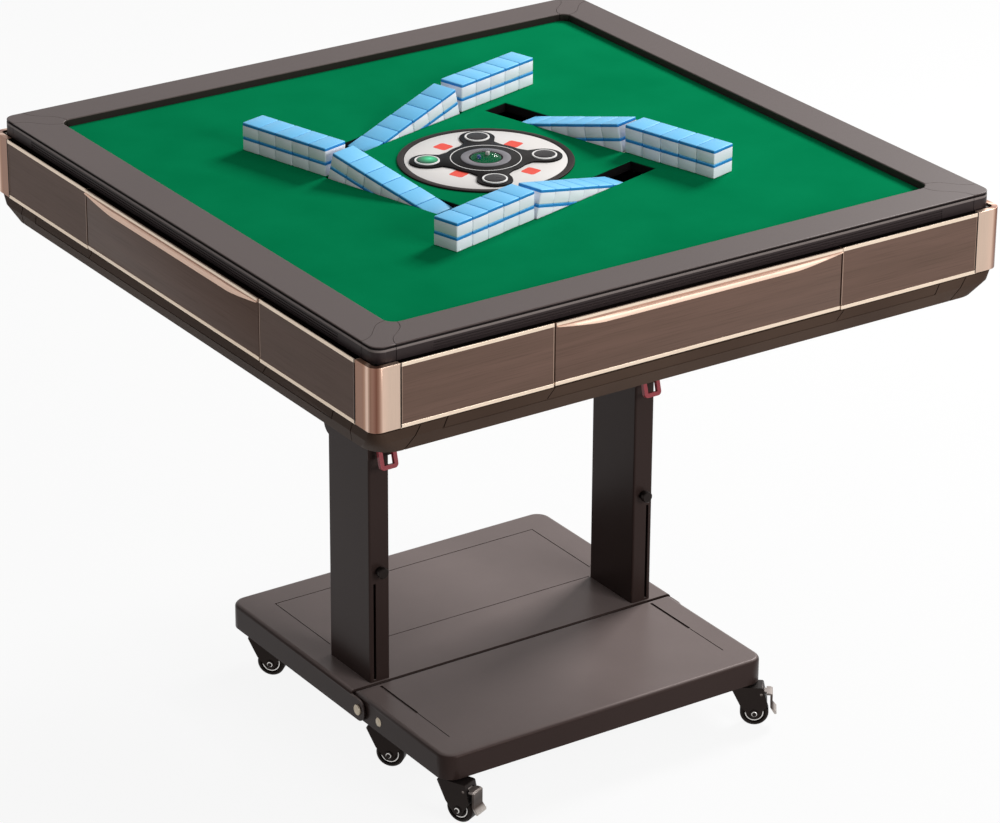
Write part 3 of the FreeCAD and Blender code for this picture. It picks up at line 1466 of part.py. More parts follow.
make_main_deck()
make_deck_frame()
make_front_deck()
make_front_rail()
for side, word in ((-1, "left"), (1, "right")):
    make_column(side, "column_" + word)
    make_lock_knob(side, "lock_knob_" + word)
    make_arm(side, "arm_" + word)
    make_release_loop(side, "release_loop_" + word)
make_pivot_bolts()
make_casters()
make_tray()
make_case()
make_corner_caps()
make_side_panels()
make_panel_trims()
make_rim()
make_surface("playing_board", case_top, cell.board_thickness, True)
make_surface("felt", board_top, cell.felt_thickness, False)
make_level_tiles()
make_console()
make_bezel()
make_dice_dome()
for number, side in enumerate(SIDES):
    quarter_turn = QUARTER * number
    make_drawer_box(side, quarter_turn)
    make_drawer_face(side, quarter_turn)
    make_ramp(side, cell.wall_angle + quarter_turn)
    make_ramp_tiles(side, cell.wall_angle + quarter_turn)
    make_button(side, cell.lobe_turn + quarter_turn)


# ---------------------------------------------------------------- checks and files

doc.recompute()
for thing in doc.Objects:
    if "Invalid" in thing.State or "Error" in thing.State:
        raise RuntimeError("failed object: " + thing.Name)
    if thing.TypeId in ("PartDesign::Pocket", "PartDesign::Groove"):
        if thing.Shape.Volume > thing.BaseFeature.Shape.Volume - 0.01:
            raise RuntimeError("nothing cut by " + thing.Label)
for thing in nodes:
    if thing.Shape.isNull() or not thing.Shape.isValid() or not thing.Shape.Solids:
        raise RuntimeError("bad shape: " + thing.Label)
os.makedirs("parts", exist_ok=True)
for thing in nodes:
    thing.Shape.exportStep("parts/%s.step" % thing.Label)
print("wrote", len(nodes), "sub-parts")
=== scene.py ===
# %% [markdown]
# # A mahjong table with drawers
#
# The real table is a square top of about one metre, with a drawer in each side, on a folding steel
# stand with six casters.  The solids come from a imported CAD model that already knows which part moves
# on which joint.  This lesson dresses that model: it gives every solid a material, and it replaces the
# few solids whose real surface is softer or finer than a CAD solid can be.

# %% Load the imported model
import math
import random

import bmesh
import bpy
from mathutils import Matrix, Vector


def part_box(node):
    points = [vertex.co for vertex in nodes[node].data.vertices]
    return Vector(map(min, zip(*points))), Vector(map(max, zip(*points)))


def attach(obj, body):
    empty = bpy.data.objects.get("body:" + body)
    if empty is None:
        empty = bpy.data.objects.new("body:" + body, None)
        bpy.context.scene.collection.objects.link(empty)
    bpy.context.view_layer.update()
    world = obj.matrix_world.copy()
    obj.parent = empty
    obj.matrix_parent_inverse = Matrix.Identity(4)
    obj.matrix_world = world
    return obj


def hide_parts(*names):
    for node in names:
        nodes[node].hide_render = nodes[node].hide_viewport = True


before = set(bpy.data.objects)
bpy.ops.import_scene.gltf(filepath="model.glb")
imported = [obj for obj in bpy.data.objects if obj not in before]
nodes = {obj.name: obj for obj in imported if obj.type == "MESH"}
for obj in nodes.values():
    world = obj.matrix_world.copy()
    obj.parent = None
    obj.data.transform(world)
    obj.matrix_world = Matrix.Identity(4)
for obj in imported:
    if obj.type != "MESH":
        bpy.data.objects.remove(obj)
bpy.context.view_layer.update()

# %% [markdown]
# Sizes on the real table are known in millimetres, and Blender works in metres.  Colours are chosen as
# sRGB hex codes, as a web page gives them, but a shader wants linear light, so one function turns the
# one into the other.

# %% Millimetres and colours
MM = 0.001


def mm(*values):
    return Vector([value * MM for value in values])


def colour(code):
    """An sRGB hex code as linear red, green and blue, with full alpha."""
    parts = [int(code[start:start + 2], 16) / 255 for start in (0, 2, 4)]
    light = [part / 12.92 if part <= 0.04045 else ((part + 0.055) / 1.055) ** 2.4 for part in parts]
    return (*light, 1.0)


print("808080 is", round(colour("808080")[0], 3), "in linear light")

# %% [markdown]
# ## Camera
# The camera stands in front and to the left, above the table and far away, with a long lens.  That
# flattens perspective, so the square top keeps its sides nearly parallel.

# %% Set up the camera
CAMERA_SPOT = (-2.884, -4.310, 2.769)
CAMERA_TURN, CAMERA_DIP = math.radians(33.10), math.radians(23.70)
LENS_MM = 148.14  # over a sensor 36 mm wide, which a new camera has
FRAME_SHIFT = (0.0604, -0.0461)


def new_object(name, data):
    """An object of that data, linked into the scene."""
    thing = bpy.data.objects.new(name, data)
    bpy.context.scene.collection.objects.link(thing)
    return thing


camera_data = bpy.data.cameras.new("camera")
camera_data.lens = LENS_MM
camera_data.shift_x, camera_data.shift_y = FRAME_SHIFT
camera_data.clip_end = 100.0
camera = new_object("camera", camera_data)
camera.location = CAMERA_SPOT
camera.rotation_euler = (math.pi / 2 - CAMERA_DIP, 0.0, -CAMERA_TURN)
bpy.context.scene.camera = camera
print("camera", round(camera.location.length, 2), "m from the middle of the floor under the table")

# %% [markdown]
# ## Nodes and materials
# A material in Blender is a small graph of nodes.  One helper adds a node, sets its inputs and joins it
# to the nodes before it.  The rest are steps that many finishes share, from starting a material to its
# roughness and relief.

# %% Helpers for materials
FACTOR, LOW, HIGH = 0, 6, 7  # the inputs of a Mix node that mixes colours
COLOURS = {"data_type": "RGBA", "out": 2}
WARM, NEUTRAL = "FFE2D6", "FFFFFF"
TWO_TONES = (0.35, 0.65)  # where a mask turns from one tone to the other
DRIFT_MM = 180.0


def as_value(given):
    return colour(given) if isinstance(given, str) else given


def add(tree, kind, inputs=None, stops=(), out=0, **settings):
    """Adds a node and gives one of its outputs.  An input is a value, an sRGB code or another output."""
    node = tree.nodes.new("ShaderNode" + kind)
    for name, setting in settings.items():
        setattr(node, name, setting)
    for socket, given in (inputs or {}).items():
        if isinstance(given, bpy.types.NodeSocket):
            tree.links.new(given, node.inputs[socket])
        else:
            node.inputs[socket].default_value = as_value(given)
    for number, (position, code) in enumerate(stops):
        elements = node.color_ramp.elements
        element = elements[number] if number < len(elements) else elements.new(1.0)
        element.position = position
        element.color = colour(code)
    return node.outputs[out] if node.outputs else None


def start_material(name, shine=0.5, tint=NEUTRAL, metal=0.0, **others):
    """A new material, its tree and its shader, with the plain values set."""
    material = bpy.data.materials.new(name)
    material.use_nodes = True
    shader = material.node_tree.nodes["Principled BSDF"]
    values = {"Specular IOR Level": shine, "Specular Tint": tint, "Metallic": metal, **others}
    for socket, value in values.items():
        shader.inputs[socket.replace("_", " ")].default_value = as_value(value)
    return material, material.node_tree, shader


def per_size(size_mm):
    """Texture scale at which one pattern cell is that many millimetres on the object."""
    return 1000.0 / size_mm


def banded(tree, ruler, bands):
    """Colours in soft bands along a ruler: pairs of a place in millimetres and an sRGB code."""
    first, last = bands[0][0], bands[-1][0]
    share = add(tree, "MapRange", {"Value": ruler, "From Min": first * MM, "From Max": last * MM})
    stops = [((place - first) / (last - first), code) for place, code in bands]
    return add(tree, "ValToRGB", {"Fac": share}, stops)


def varied(tree, tone, mask, low, high):
    """Darkens and lightens a tone with a mask, between two factors."""
    factor = add(tree, "MapRange", {"Value": mask, "To Min": low, "To Max": high})
    return add(tree, "VectorMath", {0: tone, "Scale": factor}, operation="SCALE")


def surface(tree, shader, tone, mask, depth_mm, roughness=None):
    """Ends a finish: its tone, and from one mask a relief of a real depth and the range of roughness."""
    tree.links.new(tone, shader.inputs["Base Color"])
    relief = add(tree, "Bump", {"Height": mask, "Distance": depth_mm * MM})
    tree.links.new(relief, shader.inputs["Normal"])
    if roughness:
        spread = add(tree, "MapRange", {"Value": mask, "To Min": roughness[0], "To Max": roughness[1]})
        tree.links.new(spread, shader.inputs["Roughness"])


def grained(name, low, high, grain_mm, depth_mm, roughness, shine=0.5, tint=NEUTRAL, metal=0.0):
    """A moulded or plated finish: two near tones that drift over the piece, and a fine even grain."""
    material, tree, shader = start_material(name, shine, tint, metal)
    place = add(tree, "TexCoord", out="Object")
    drift = add(tree, "TexNoise", {"Vector": place, "Scale": per_size(DRIFT_MM), "Detail": 3.0})
    tone = add(tree, "ValToRGB", {"Fac": drift}, zip(TWO_TONES, (low, high)))
    grain = add(tree, "TexNoise", {"Vector": place, "Scale": per_size(grain_mm), "Detail": 2.0})
    surface(tree, shader, tone, grain, depth_mm, roughness)
    return material


print("material helpers ready")

# %% [markdown]
# ## Finishes of the stand
# The stand is folded sheet steel with a sprayed powder coat.  Powder melts into a film with a faint
# orange-peel texture of one to two millimetres, so it is satin: light spreads wide on it, with no sharp
# reflection.  The colour is a warm near-black.  Level faces are painted paler, unevenly, as a painted
# reflection of the bright room, so they look greyer than the sides.

# %% Powder coat


def powder_coat():
    """Sprayed and baked powder, with a painted reflection on its level faces."""
    material, tree, shader = start_material("powder_coat", 0.11, "FFE2DC")
    place = add(tree, "TexCoord", out="Object")
    level = add(tree, "SeparateXYZ", {"Vector": add(tree, "TexCoord", out="Normal")}, out="Z")
    # Level faces turn paler with a cloudy edge, towards 9C8E8B: a painted reflection of the bright room.
    level_sheen_share = add(tree, "MapRange", {"Value": level, "From Min": 0.6, "From Max": 0.95})
    cloud = add(tree, "TexNoise", {"Vector": place, "Scale": per_size(160.0), "Detail": 4.0})
    calm = add(tree, "MapRange", {"Value": cloud, "To Min": 0.38, "To Max": 0.62})
    film = add(tree, "Math", {0: level_sheen_share, 1: calm}, operation="MULTIPLY")
    bare = add(tree, "Mix", {FACTOR: cloud, LOW: "2D2220", HIGH: "352A27"}, **COLOURS)
    sheen_tone = add(tree, "Mix", {FACTOR: film, LOW: bare, HIGH: "9C8E8B"}, **COLOURS)
    peel = add(tree, "TexNoise", {"Vector": place, "Scale": per_size(1.8), "Detail": 2.0})
    surface(tree, shader, sheen_tone, peel, 0.05, (0.28, 0.38))
    return material


POWDER_COAT = powder_coat()
print("powder coat made")

# %% [markdown]
# Forks, knobs and ramps are moulded nylon, near-black and satin with an even grain, drawn at about one
# millimetre so that it shows; the wheels are a duller nylon.  Bolts are brass plated and rings are
# bright steel: small parts with a fine, bright shine.  The release loops are dipped in soft red vinyl.
# The brake pedals are zinc plated, and their tone goes in bands with height: painted highlights at the
# top bend and at the toe, on a dark plate between.

# %% Nylon, bolts, grips and pedals
BLACK_NYLON = grained("black_moulded_nylon", "120F0F", "1B1716", 1.2, 0.04, (0.3, 0.42), 0.18, WARM)
WHEEL_NYLON = grained("wheel_nylon", "0E0C0C", "161312", 1.0, 0.03, (0.35, 0.5), 0.15, WARM)
BRIGHT_STEEL = grained("bright_steel", "C9C6C2", "DDDAD6", 0.8, 0.01, (0.22, 0.32), metal=0.9)
BRASS_BOLT = grained("brass_plated_bolt", "F6E4C8", "FFF2DC", 0.8, 0.01, (0.35, 0.45), metal=0.1)
RED_GRIP = grained("red_dipped_vinyl", "8A2C35", "A03A43", 1.5, 0.03, (0.3, 0.42), 0.35)
# Pedal tones by height: the bright bands at the top bend and the toe are painted highlights on a dark plate.
PEDAL_HIGHLIGHT_BANDS = ((18, "BDB7B1"), (20, "BDB7B1"), (26, "A29993"), (29, "4A3F3A"), (40, "3A312D"),
               (49, "4E443F"), (52, "8E8580"), (55, "A39B96"), (56, "A39B96"))


def pedal_zinc():
    """Zinc plate with painted highlights, bright at the top bend and at the toe, dull between."""
    material, tree, shader = start_material("zinc_plated_pedal", metal=0.7)
    place = add(tree, "TexCoord", out="Object")
    wear = add(tree, "TexNoise", {"Vector": place, "Scale": per_size(9.0), "Detail": 3.0})
    bands = banded(tree, add(tree, "SeparateXYZ", {"Vector": place}, out="Z"), PEDAL_HIGHLIGHT_BANDS)
    surface(tree, shader, varied(tree, bands, wear, 0.7, 1.25), wear, 0.02, (0.36, 0.5))
    return material


ZINC_PEDAL = pedal_zinc()
print("small finishes of the stand made")

# %% [markdown]
# ## Finishes of the top
# The bottom tray and the rim are injection-moulded ABS.  ABS is a slightly warm, satin plastic; the
# mould is spark-eroded, which leaves an even grain of about half a millimetre.  It is drawn at 1.2 mm,
# because a finer one would not show.  The rim is two mouldings: a taupe top cover, and a ribbed skirt
# in near-black.  A groove runs round under the cover's edge with a dark band of painted shade in it, and
# the bead below it carries a pale band of painted highlight, so the tone changes with height.  The inner
# wall has no bead and stays plain, in the skirt's dark plastic made a little darker as painted shade.

# %% Tray and rim plastic
TRAY_ABS = grained("tray_abs", "41332B", "4A3B32", 1.2, 0.03, (0.5, 0.6), 0.05, WARM)
# From 801 to 803.7 mm the dark band is painted shade in the groove; from 798 to 800.6 mm the pale band is a
# painted highlight on the bead.
RIM_TONE_SHADE_AND_HIGHLIGHT_BANDS = ((781.0, "261E1F"), (797.4, "261E1F"), (798.0, "756C69"), (800.6, "7C7370"),
             (801.0, "171213"), (803.7, "171213"), (804.1, "504543"), (806.0, "504543"))
INNER_BANDS = ((781.0, "1E1817"), (803.2, "241D1B"), (804.1, "504543"), (806.0, "504543"))
RIM_INNER, RIM_OUTER = 462.0, 466.0


def from_middle(tree, place, operation):
    """Combines how far a point lies from the middle of the table in X and in Y."""
    across, along = [add(tree, "Math", {0: add(tree, "SeparateXYZ", {"Vector": place}, out=axis)},
                         operation="ABSOLUTE") for axis in "XY"]
    return add(tree, "Math", {0: across, 1: along}, operation=operation)


def rim_abs():
    """Banded on the outer wall, with painted shade and a painted highlight; plain and dark on the inner one.
    """
    material, tree, shader = start_material("rim_abs", 0.25, "FFF0EC")
    place = add(tree, "TexCoord", out="Object")
    height = add(tree, "SeparateXYZ", {"Vector": place}, out="Z")
    reach = from_middle(tree, place, "MAXIMUM")
    outside = add(tree, "MapRange", {"Value": reach, "From Min": RIM_INNER * MM, "From Max": RIM_OUTER * MM})
    inner, outer = banded(tree, height, INNER_BANDS), banded(tree, height, RIM_TONE_SHADE_AND_HIGHLIGHT_BANDS)
    bands = add(tree, "Mix", {FACTOR: outside, LOW: inner, HIGH: outer}, **COLOURS)
    drift = add(tree, "TexNoise", {"Vector": place, "Scale": per_size(220.0), "Detail": 2.0})
    grain = add(tree, "TexNoise", {"Vector": place, "Scale": per_size(1.2), "Detail": 2.0})
    surface(tree, shader, varied(tree, bands, drift, 0.9, 1.1), grain, 0.03, (0.42, 0.52))
    return material


RIM_ABS = rim_abs()
print("tray and rim finishes made")

# %% [markdown]
# The panels and drawer fronts wear a dark walnut veneer under a satin lacquer.  The grain runs along
# each side, so the pattern is stretched: long along the side, two centimetres across it.  Pores are
# short dark strokes of half a millimetre; they are drawn about twice as wide so that they show.

# %% Walnut veneer
FIGURE_CELL = (per_size(400.0), per_size(400.0), per_size(22.0))
PORE_CELL = (12.0, 12.0, per_size(1.6))


def walnut():
    material, tree, shader = start_material("walnut_veneer", 0.2, WARM)
    place = add(tree, "TexCoord", out="Object")
    figure = add(tree, "Mapping", {"Vector": place, "Scale": FIGURE_CELL})
    bands = add(tree, "TexNoise", {"Vector": figure, "Scale": 1.0, "Detail": 4.0, "Distortion": 0.4})
    tone = add(tree, "ValToRGB", {"Fac": bands}, ((0.3, "604C42"), (0.7, "6C554B")))
    stretch = add(tree, "Mapping", {"Vector": place, "Scale": PORE_CELL})
    pores = add(tree, "TexNoise", {"Vector": stretch, "Scale": 1.0, "Detail": 3.0})
    dark = add(tree, "MapRange", {"Value": pores, "From Min": 0.5, "From Max": 0.75, "To Max": 0.45})
    both = add(tree, "Mix", {FACTOR: dark, LOW: tone, HIGH: "4C3B33"}, **COLOURS)
    surface(tree, shader, both, pores, 0.03, (0.42, 0.52))
    return material


WALNUT = walnut()
print("walnut veneer made")

# %% [markdown]
# Corner caps, pulls and trims are anodised aluminium: the caps and pulls in rose bronze, the thin trims
# in champagne.  The metal is brushed along its length before anodising, so its shine is drawn out in
# fine lines, 0.8 mm apart here so that they show.  The anodic film keeps it satin.

# %% Anodised aluminium
BRUSHED_ALONG = (per_size(40.0), per_size(40.0), per_size(0.8))
BRUSHED_UP = (per_size(0.8), per_size(0.8), per_size(40.0))


def brushed(tree, lines):
    """A mask of fine lines along one direction, given by the scale that stretches them."""
    stretched = add(tree, "Mapping", {"Vector": add(tree, "TexCoord", out="Object"), "Scale": lines})
    return add(tree, "TexNoise", {"Vector": stretched, "Scale": 1.0, "Detail": 3.0})


def anodised(name, low, high, roughness, metal=0.6, lines=BRUSHED_ALONG):
    """Brushed aluminium under a tinted film: two near tones that follow the brushed lines."""
    material, tree, shader = start_material(name, metal=metal)
    brush = brushed(tree, lines)
    tone = add(tree, "ValToRGB", {"Fac": brush}, zip(TWO_TONES, (low, high)))
    surface(tree, shader, tone, brush, 0.01, roughness)
    return material


ROSE_PULL = anodised("rose_anodised_pull", "E9C8B4", "EFCFBB", (0.5, 0.58))
# A darker rose for the faces of the pull's groove: painted shade.
ROSE_GROOVE_SHADE = anodised("rose_groove_painted_shade", "A88371", "B38D7A", (0.55, 0.65))
CHAMPAGNE = anodised("champagne_anodised_trim", "EBD5BE", "F3DFCA", (0.26, 0.36))
print("anodised pulls, grooves and trims made")

# %% [markdown]
# A corner cap is bent from one strip, then brushed upwards.  Along the bend its colour carries painted
# reflections: a dark core, and a bright cream streak beside it.  Painted light also makes its front faces
# lighter than its side faces.  Both are drawn across the bend, with the distance round the corner as
# their ruler.  Case and drawers are board faced with smooth grey melamine, and the playing board under
# the cloth is faced in black.

# %% Corner caps and boards
# Painted reflections and painted light across the bend: lighter front faces, dark core, cream streak, darker
# side faces.
CAP_PAINTED_LIGHT_BANDS = ((-25, "CDB4A2"), (-15, "D8BAA7"), (-12, "B3907E"), (-9, "8F6A59"), (-5, "744B3C"),
             (0, "90695A"), (3, "967160"), (6, "8B6756"), (9, "B08F7D"), (12, "E8C8B5"),
             (15, "D4B3A1"), (18, "A9826B"), (22, "946C57"), (25, "936E5B"))


def rose_cap():
    material, tree, shader = start_material("rose_anodised_cap", metal=0.85)
    round_bend = from_middle(tree, add(tree, "TexCoord", out="Object"), "SUBTRACT")
    brush = brushed(tree, BRUSHED_UP)
    tone = varied(tree, banded(tree, round_bend, CAP_PAINTED_LIGHT_BANDS), brush, 0.92, 1.08)
    surface(tree, shader, tone, brush, 0.01, (0.28, 0.38))
    return material


ROSE_CAP = rose_cap()
BLACK_BOARD = grained("black_melamine_board", "100E0E", "191616", 2.0, 0.02, (0.5, 0.6), 0.05)
MELAMINE = grained("grey_melamine_board", "8B857F", "979089", 2.0, 0.02, (0.45, 0.55))
print("corner caps and boards made")

# %% [markdown]
# ## Carried-over solids
# Most solids have the right shape already.  Each gets its finish, and a small bevel on its sharp edges:
# a real edge is never perfectly sharp, and the bevel is what catches a thin line of light.

# %% Dress the solids that stay
SIDES = ("front", "right", "back", "left")
HANDS = ("left", "right")
CASTERS = [row + "_" + hand for row in ("front", "middle", "rear") for hand in HANDS]
DRESSED = (
    (POWDER_COAT, 0.4, ["main_deck", "deck_frame", "front_deck", "front_rail"]),
    (POWDER_COAT, 0, ["column_" + hand for hand in HANDS]),
    (POWDER_COAT, 0.5, ["arm_" + hand for hand in HANDS]),
    (BRASS_BOLT, 0.4, ["pivot_bolts"]),
    (BLACK_NYLON, 0, ["lock_knob_" + hand for hand in HANDS]),
    (RED_GRIP, 1.4, ["release_loop_" + hand for hand in HANDS]),
    (ZINC_PEDAL, 0.5, ["brake_pedal_" + hand for hand in HANDS]),
    (BLACK_NYLON, 0.5, ["caster_fork_" + word for word in CASTERS]),
    (WHEEL_NYLON, 0.3, ["caster_wheel_" + word for word in CASTERS]),
    (TRAY_ABS, 0.4, ["bottom_tray"]),
    (MELAMINE, 0.4, ["case"] + [side + "_drawer_box" for side in SIDES]),
    (BLACK_NYLON, 0.4, [side + "_ramp" for side in SIDES]),
    (ROSE_CAP, 0.6, ["corner_caps"]),
    (WALNUT, 0.5, ["side_panels"]),
    (CHAMPAGNE, 0.5, ["panel_trims"]),
    (RIM_ABS, 0.4, ["rim_rails", "rim_corners"]),
    (BLACK_BOARD, 0, ["playing_board"]),
)
CRISP_ANGLE = math.radians(35)


def dress(name, finish, edge_mm=0):
    """Gives a CAD solid its finish; with an edge, welds its faces and rounds their sharp edges."""
    thing = nodes[name]
    thing.data.materials.clear()
    thing.data.materials.append(finish)
    if edge_mm:
        weld = thing.modifiers.new("weld", "WELD")
        weld.merge_threshold = 0.02 * MM
        bevel = thing.modifiers.new("bevel", "BEVEL")
        bevel.width = edge_mm * MM
        bevel.segments = 2
        bevel.limit_method = "ANGLE"
        bevel.angle_limit = CRISP_ANGLE
        bevel.harden_normals = True


for finish, edge_mm, names in DRESSED:
    for name in names:
        dress(name, finish, edge_mm)
print(sum(len(names) for finish, edge_mm, names in DRESSED), "solids dressed")

# %% [markdown]
# ## Pieces made in mesh code
# A new piece starts as a bmesh, becomes an object, takes its materials, and rides on the CAD body that
# carries it.  Faces that meet at a gentle angle are shaded smooth and sharper ones stay crisp.

# %% Helpers for new pieces


def make_piece(name, shape, materials, body, stands_for=()):
    """Turns a bmesh into an object that rides on a body."""
    mesh = bpy.data.meshes.new(name)
    shape.normal_update()
    shape.to_mesh(mesh)
    shape.free()
    for material in materials:
        mesh.materials.append(material)
    mesh.shade_smooth()
    mesh.set_sharp_from_angle(angle=CRISP_ANGLE)
    thing = new_object(name, mesh)
    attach(thing, body)
    if stands_for:
        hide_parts(*stands_for)
    return thing


def moved(shape, move, start=0):
    """Moves the points of a shape, or only those added after a count."""
    shape.verts.ensure_lookup_table()
    bmesh.ops.transform(shape, matrix=move, verts=shape.verts[start:])


def rounded(shape, width, segments):
    """Rounds every edge of a shape by a width in millimetres."""
    bmesh.ops.bevel(shape, geom=shape.edges[:], offset=width * MM, segments=segments, profile=0.5,
                    affect="EDGES")


def block(shape, low, high, soft=0.0):
    """A box between two corners, in millimetres, with its edges rounded by a small width."""
    low, high = mm(*low), mm(*high)
    place = Matrix.Translation((low + high) / 2) @ Matrix.Diagonal((*(high - low), 1.0))
    bmesh.ops.create_cube(shape, size=1.0, matrix=place)
    if soft:
        rounded(shape, soft, 2)


def rotated(degrees, axis="Z"):
    return Matrix.Rotation(math.radians(degrees), 4, axis)


print("piece helpers ready")

# %% [markdown]
# ## Tiles
# A mahjong tile is compression-moulded melamine: a white body with a coloured back fused to it, and
# every edge tumbled round.  The tiles lie face down, so the blue backs are on top.  The sides of the
# blue layer get a deeper blue than its top: painted shade.  One tile is made from a box with rounded
# edges, cut at the seam between white and blue, with a hair-thin groove there.

# %% One tile
TILE_WIDE, TILE_LONG, TILE_HIGH = 30.3, 40.0, 20.0
TILE_EDGE, TILE_PITCH = 1.5, 30.6
SEAM_HEIGHT, SEAM_HALF, SEAM_DEEP = 15.6, 0.3, 0.25
MOULDED = (12.0, 0.005, (0.38, 0.42), 0.15)  # grain, relief, roughness and shine
# The third finish, on the blue layer's sides, is the blue darkened: painted shade.
TILE_FINISHES = [grained("bone_white_melamine", "EEF1FB", "F3F5FE", *MOULDED),
                 grained("sky_blue_melamine", "72C6F6", "7ACBF9", *MOULDED),
                 grained("blue_back_painted_side_shade", "2C8AD6", "3692DC", *MOULDED)]
BODY, BACK, BACK_SIDE_SHADE = 0, 1, 2


def tile_mesh():
    shape = bmesh.new()
    block(shape, (0, 0, 0), (TILE_WIDE, TILE_LONG, TILE_HIGH))
    rounded(shape, TILE_EDGE, 3)
    groove = []
    for offset in (-SEAM_HALF, 0.0, SEAM_HALF):
        cut = bmesh.ops.bisect_plane(shape, geom=shape.verts[:] + shape.edges[:] + shape.faces[:],
                                     plane_co=mm(0, 0, SEAM_HEIGHT + offset), plane_no=(0, 0, 1))
        if offset == 0.0:
            groove = [part for part in cut["geom_cut"] if isinstance(part, bmesh.types.BMVert)]
    centre = mm(TILE_WIDE / 2, TILE_LONG / 2, SEAM_HEIGHT)
    for point in groove:
        away = point.co - centre
        away.z = 0
        point.co -= away.normalized() * SEAM_DEEP * MM
    shape.normal_update()
    for face in shape.faces:
        above = face.calc_center_median().z > SEAM_HEIGHT * MM
        face.material_index = BODY if not above else BACK if face.normal.z > 0.6 else BACK_SIDE_SHADE
        face.smooth = True
    mesh = bpy.data.meshes.new("one_tile")
    shape.to_mesh(mesh)
    shape.free()
    return mesh


ONE_TILE = tile_mesh()
print("a tile has", len(ONE_TILE.polygons), "faces")

# %% [markdown]
# Each wall has a level half that stands on the cloth, and a sloping half that lies on its lifting ramp.
# The tiles stand two high, side by side.  Nobody lines them up perfectly, so each one is turned by a
# small random angle, from a fixed seed so that the table is the same every time.

# %% Walls of tiles
WALL_TURN = 15.43
LANE_OFFSET, LANE_START = 168.0, 120.0
FELT_TOP, RAMP_TOP = 794.0, 792.5
LEVEL_STACKS, SLOPE_STACKS = 5, 6
SLOPE_START = -117.0
RAMP_AXIS = mm(-116, 0, 789.5)
RAMP_SLOPE = 13.54
chance = random.Random(7)


def stacks(shape, count, start, base, turn):
    """Adds stacks two tiles high along a lane, each tile placed and then turned with the lane."""
    for number in range(count):
        for layer in range(2):
            loose = rotated(chance.uniform(-0.25, 0.25))
            nudge = mm(chance.uniform(-0.1, 0.1), chance.uniform(-0.4, 0.4), 0)
            spot = mm(start + number * TILE_PITCH, -LANE_OFFSET - TILE_LONG / 2, base + layer * TILE_HIGH)
            middle = mm(TILE_WIDE / 2, TILE_LONG / 2, 0)
            before = len(shape.verts)
            shape.from_mesh(ONE_TILE)
            move = turn @ Matrix.Translation(spot + nudge + middle) @ loose @ Matrix.Translation(-middle)
            moved(shape, move, before)


wall = bmesh.new()
for quarter in range(4):
    start = -LANE_START - LEVEL_STACKS * TILE_PITCH
    stacks(wall, LEVEL_STACKS, start, FELT_TOP, rotated(WALL_TURN + 90 * quarter))
make_piece("level_wall_tiles", wall, TILE_FINISHES, "tabletop", ["level_tiles"])
slope = Matrix.Translation(RAMP_AXIS) @ rotated(RAMP_SLOPE, "Y") @ Matrix.Translation(-RAMP_AXIS)
for quarter, side in enumerate(SIDES):
    wall = bmesh.new()
    stacks(wall, SLOPE_STACKS, SLOPE_START, RAMP_TOP, rotated(WALL_TURN + 90 * quarter) @ slope)
    make_piece(side + "_sloping_tiles", wall, TILE_FINISHES, side + "_ramp", [side + "_ramp_tiles"])
print(4 * 2 * (LEVEL_STACKS + SLOPE_STACKS), "tiles stand in four walls")

# %% [markdown]
# ## Playing cloth
# The cloth is a thin felted fabric glued flat to the board, cut out for the four lifting lanes and the
# console.  Felt has no weave: short fibres lie every way, which gives a soft, slightly mottled green
# and no gloss at all, so the shader's specular level is nought.  The shape is one filled curve with
# holes, because a curve keeps the cut edges clean.

# %% Felt
FELT_LOW, FELT_THICK = 793.0, 1.0
BOARD_HALF = 465.5
LANE_NEAR, LANE_FAR = -190.0, -146.0
LANE_LEFT, LANE_RIGHT = -120.0, 129.0
CONSOLE_HOLE = 112.0
SQUARE = ((-1, -1), (1, -1), (1, 1), (-1, 1))


def green_felt():
    material, tree, shader = start_material("green_felt", 0.0, Roughness=1.0)
    place = add(tree, "TexCoord", out="Object")
    fibres = add(tree, "TexNoise", {"Vector": place, "Scale": per_size(1.4), "Detail": 5.0, "Roughness": 0.7})
    cloud = add(tree, "TexNoise", {"Vector": place, "Scale": per_size(90.0), "Detail": 3.0})
    shade = add(tree, "Math", {0: fibres, 1: 0.35}, operation="MULTIPLY")
    whole = add(tree, "Math", {0: cloud, 1: 0.65, 2: shade}, operation="MULTIPLY_ADD")
    tone = add(tree, "ValToRGB", {"Fac": whole}, zip(TWO_TONES, ("047A4B", "078151")))
    surface(tree, shader, tone, fibres, 0.15)
    return material


def turns(steps):
    """Evenly spaced angles round a full turn."""
    return [2 * math.pi * step / steps for step in range(steps)]


def polar(reach, angle, height=0.0):
    """The point at a reach and an angle from the middle, and at a height, in millimetres."""
    return mm(reach * math.cos(angle), reach * math.sin(angle), height)


def closed_line(curve, points):
    spline = curve.splines.new("POLY")
    spline.points.add(len(points) - 1)
    for target, point in zip(spline.points, points):
        target.co = (*point, 1.0)
    spline.use_cyclic_u = True


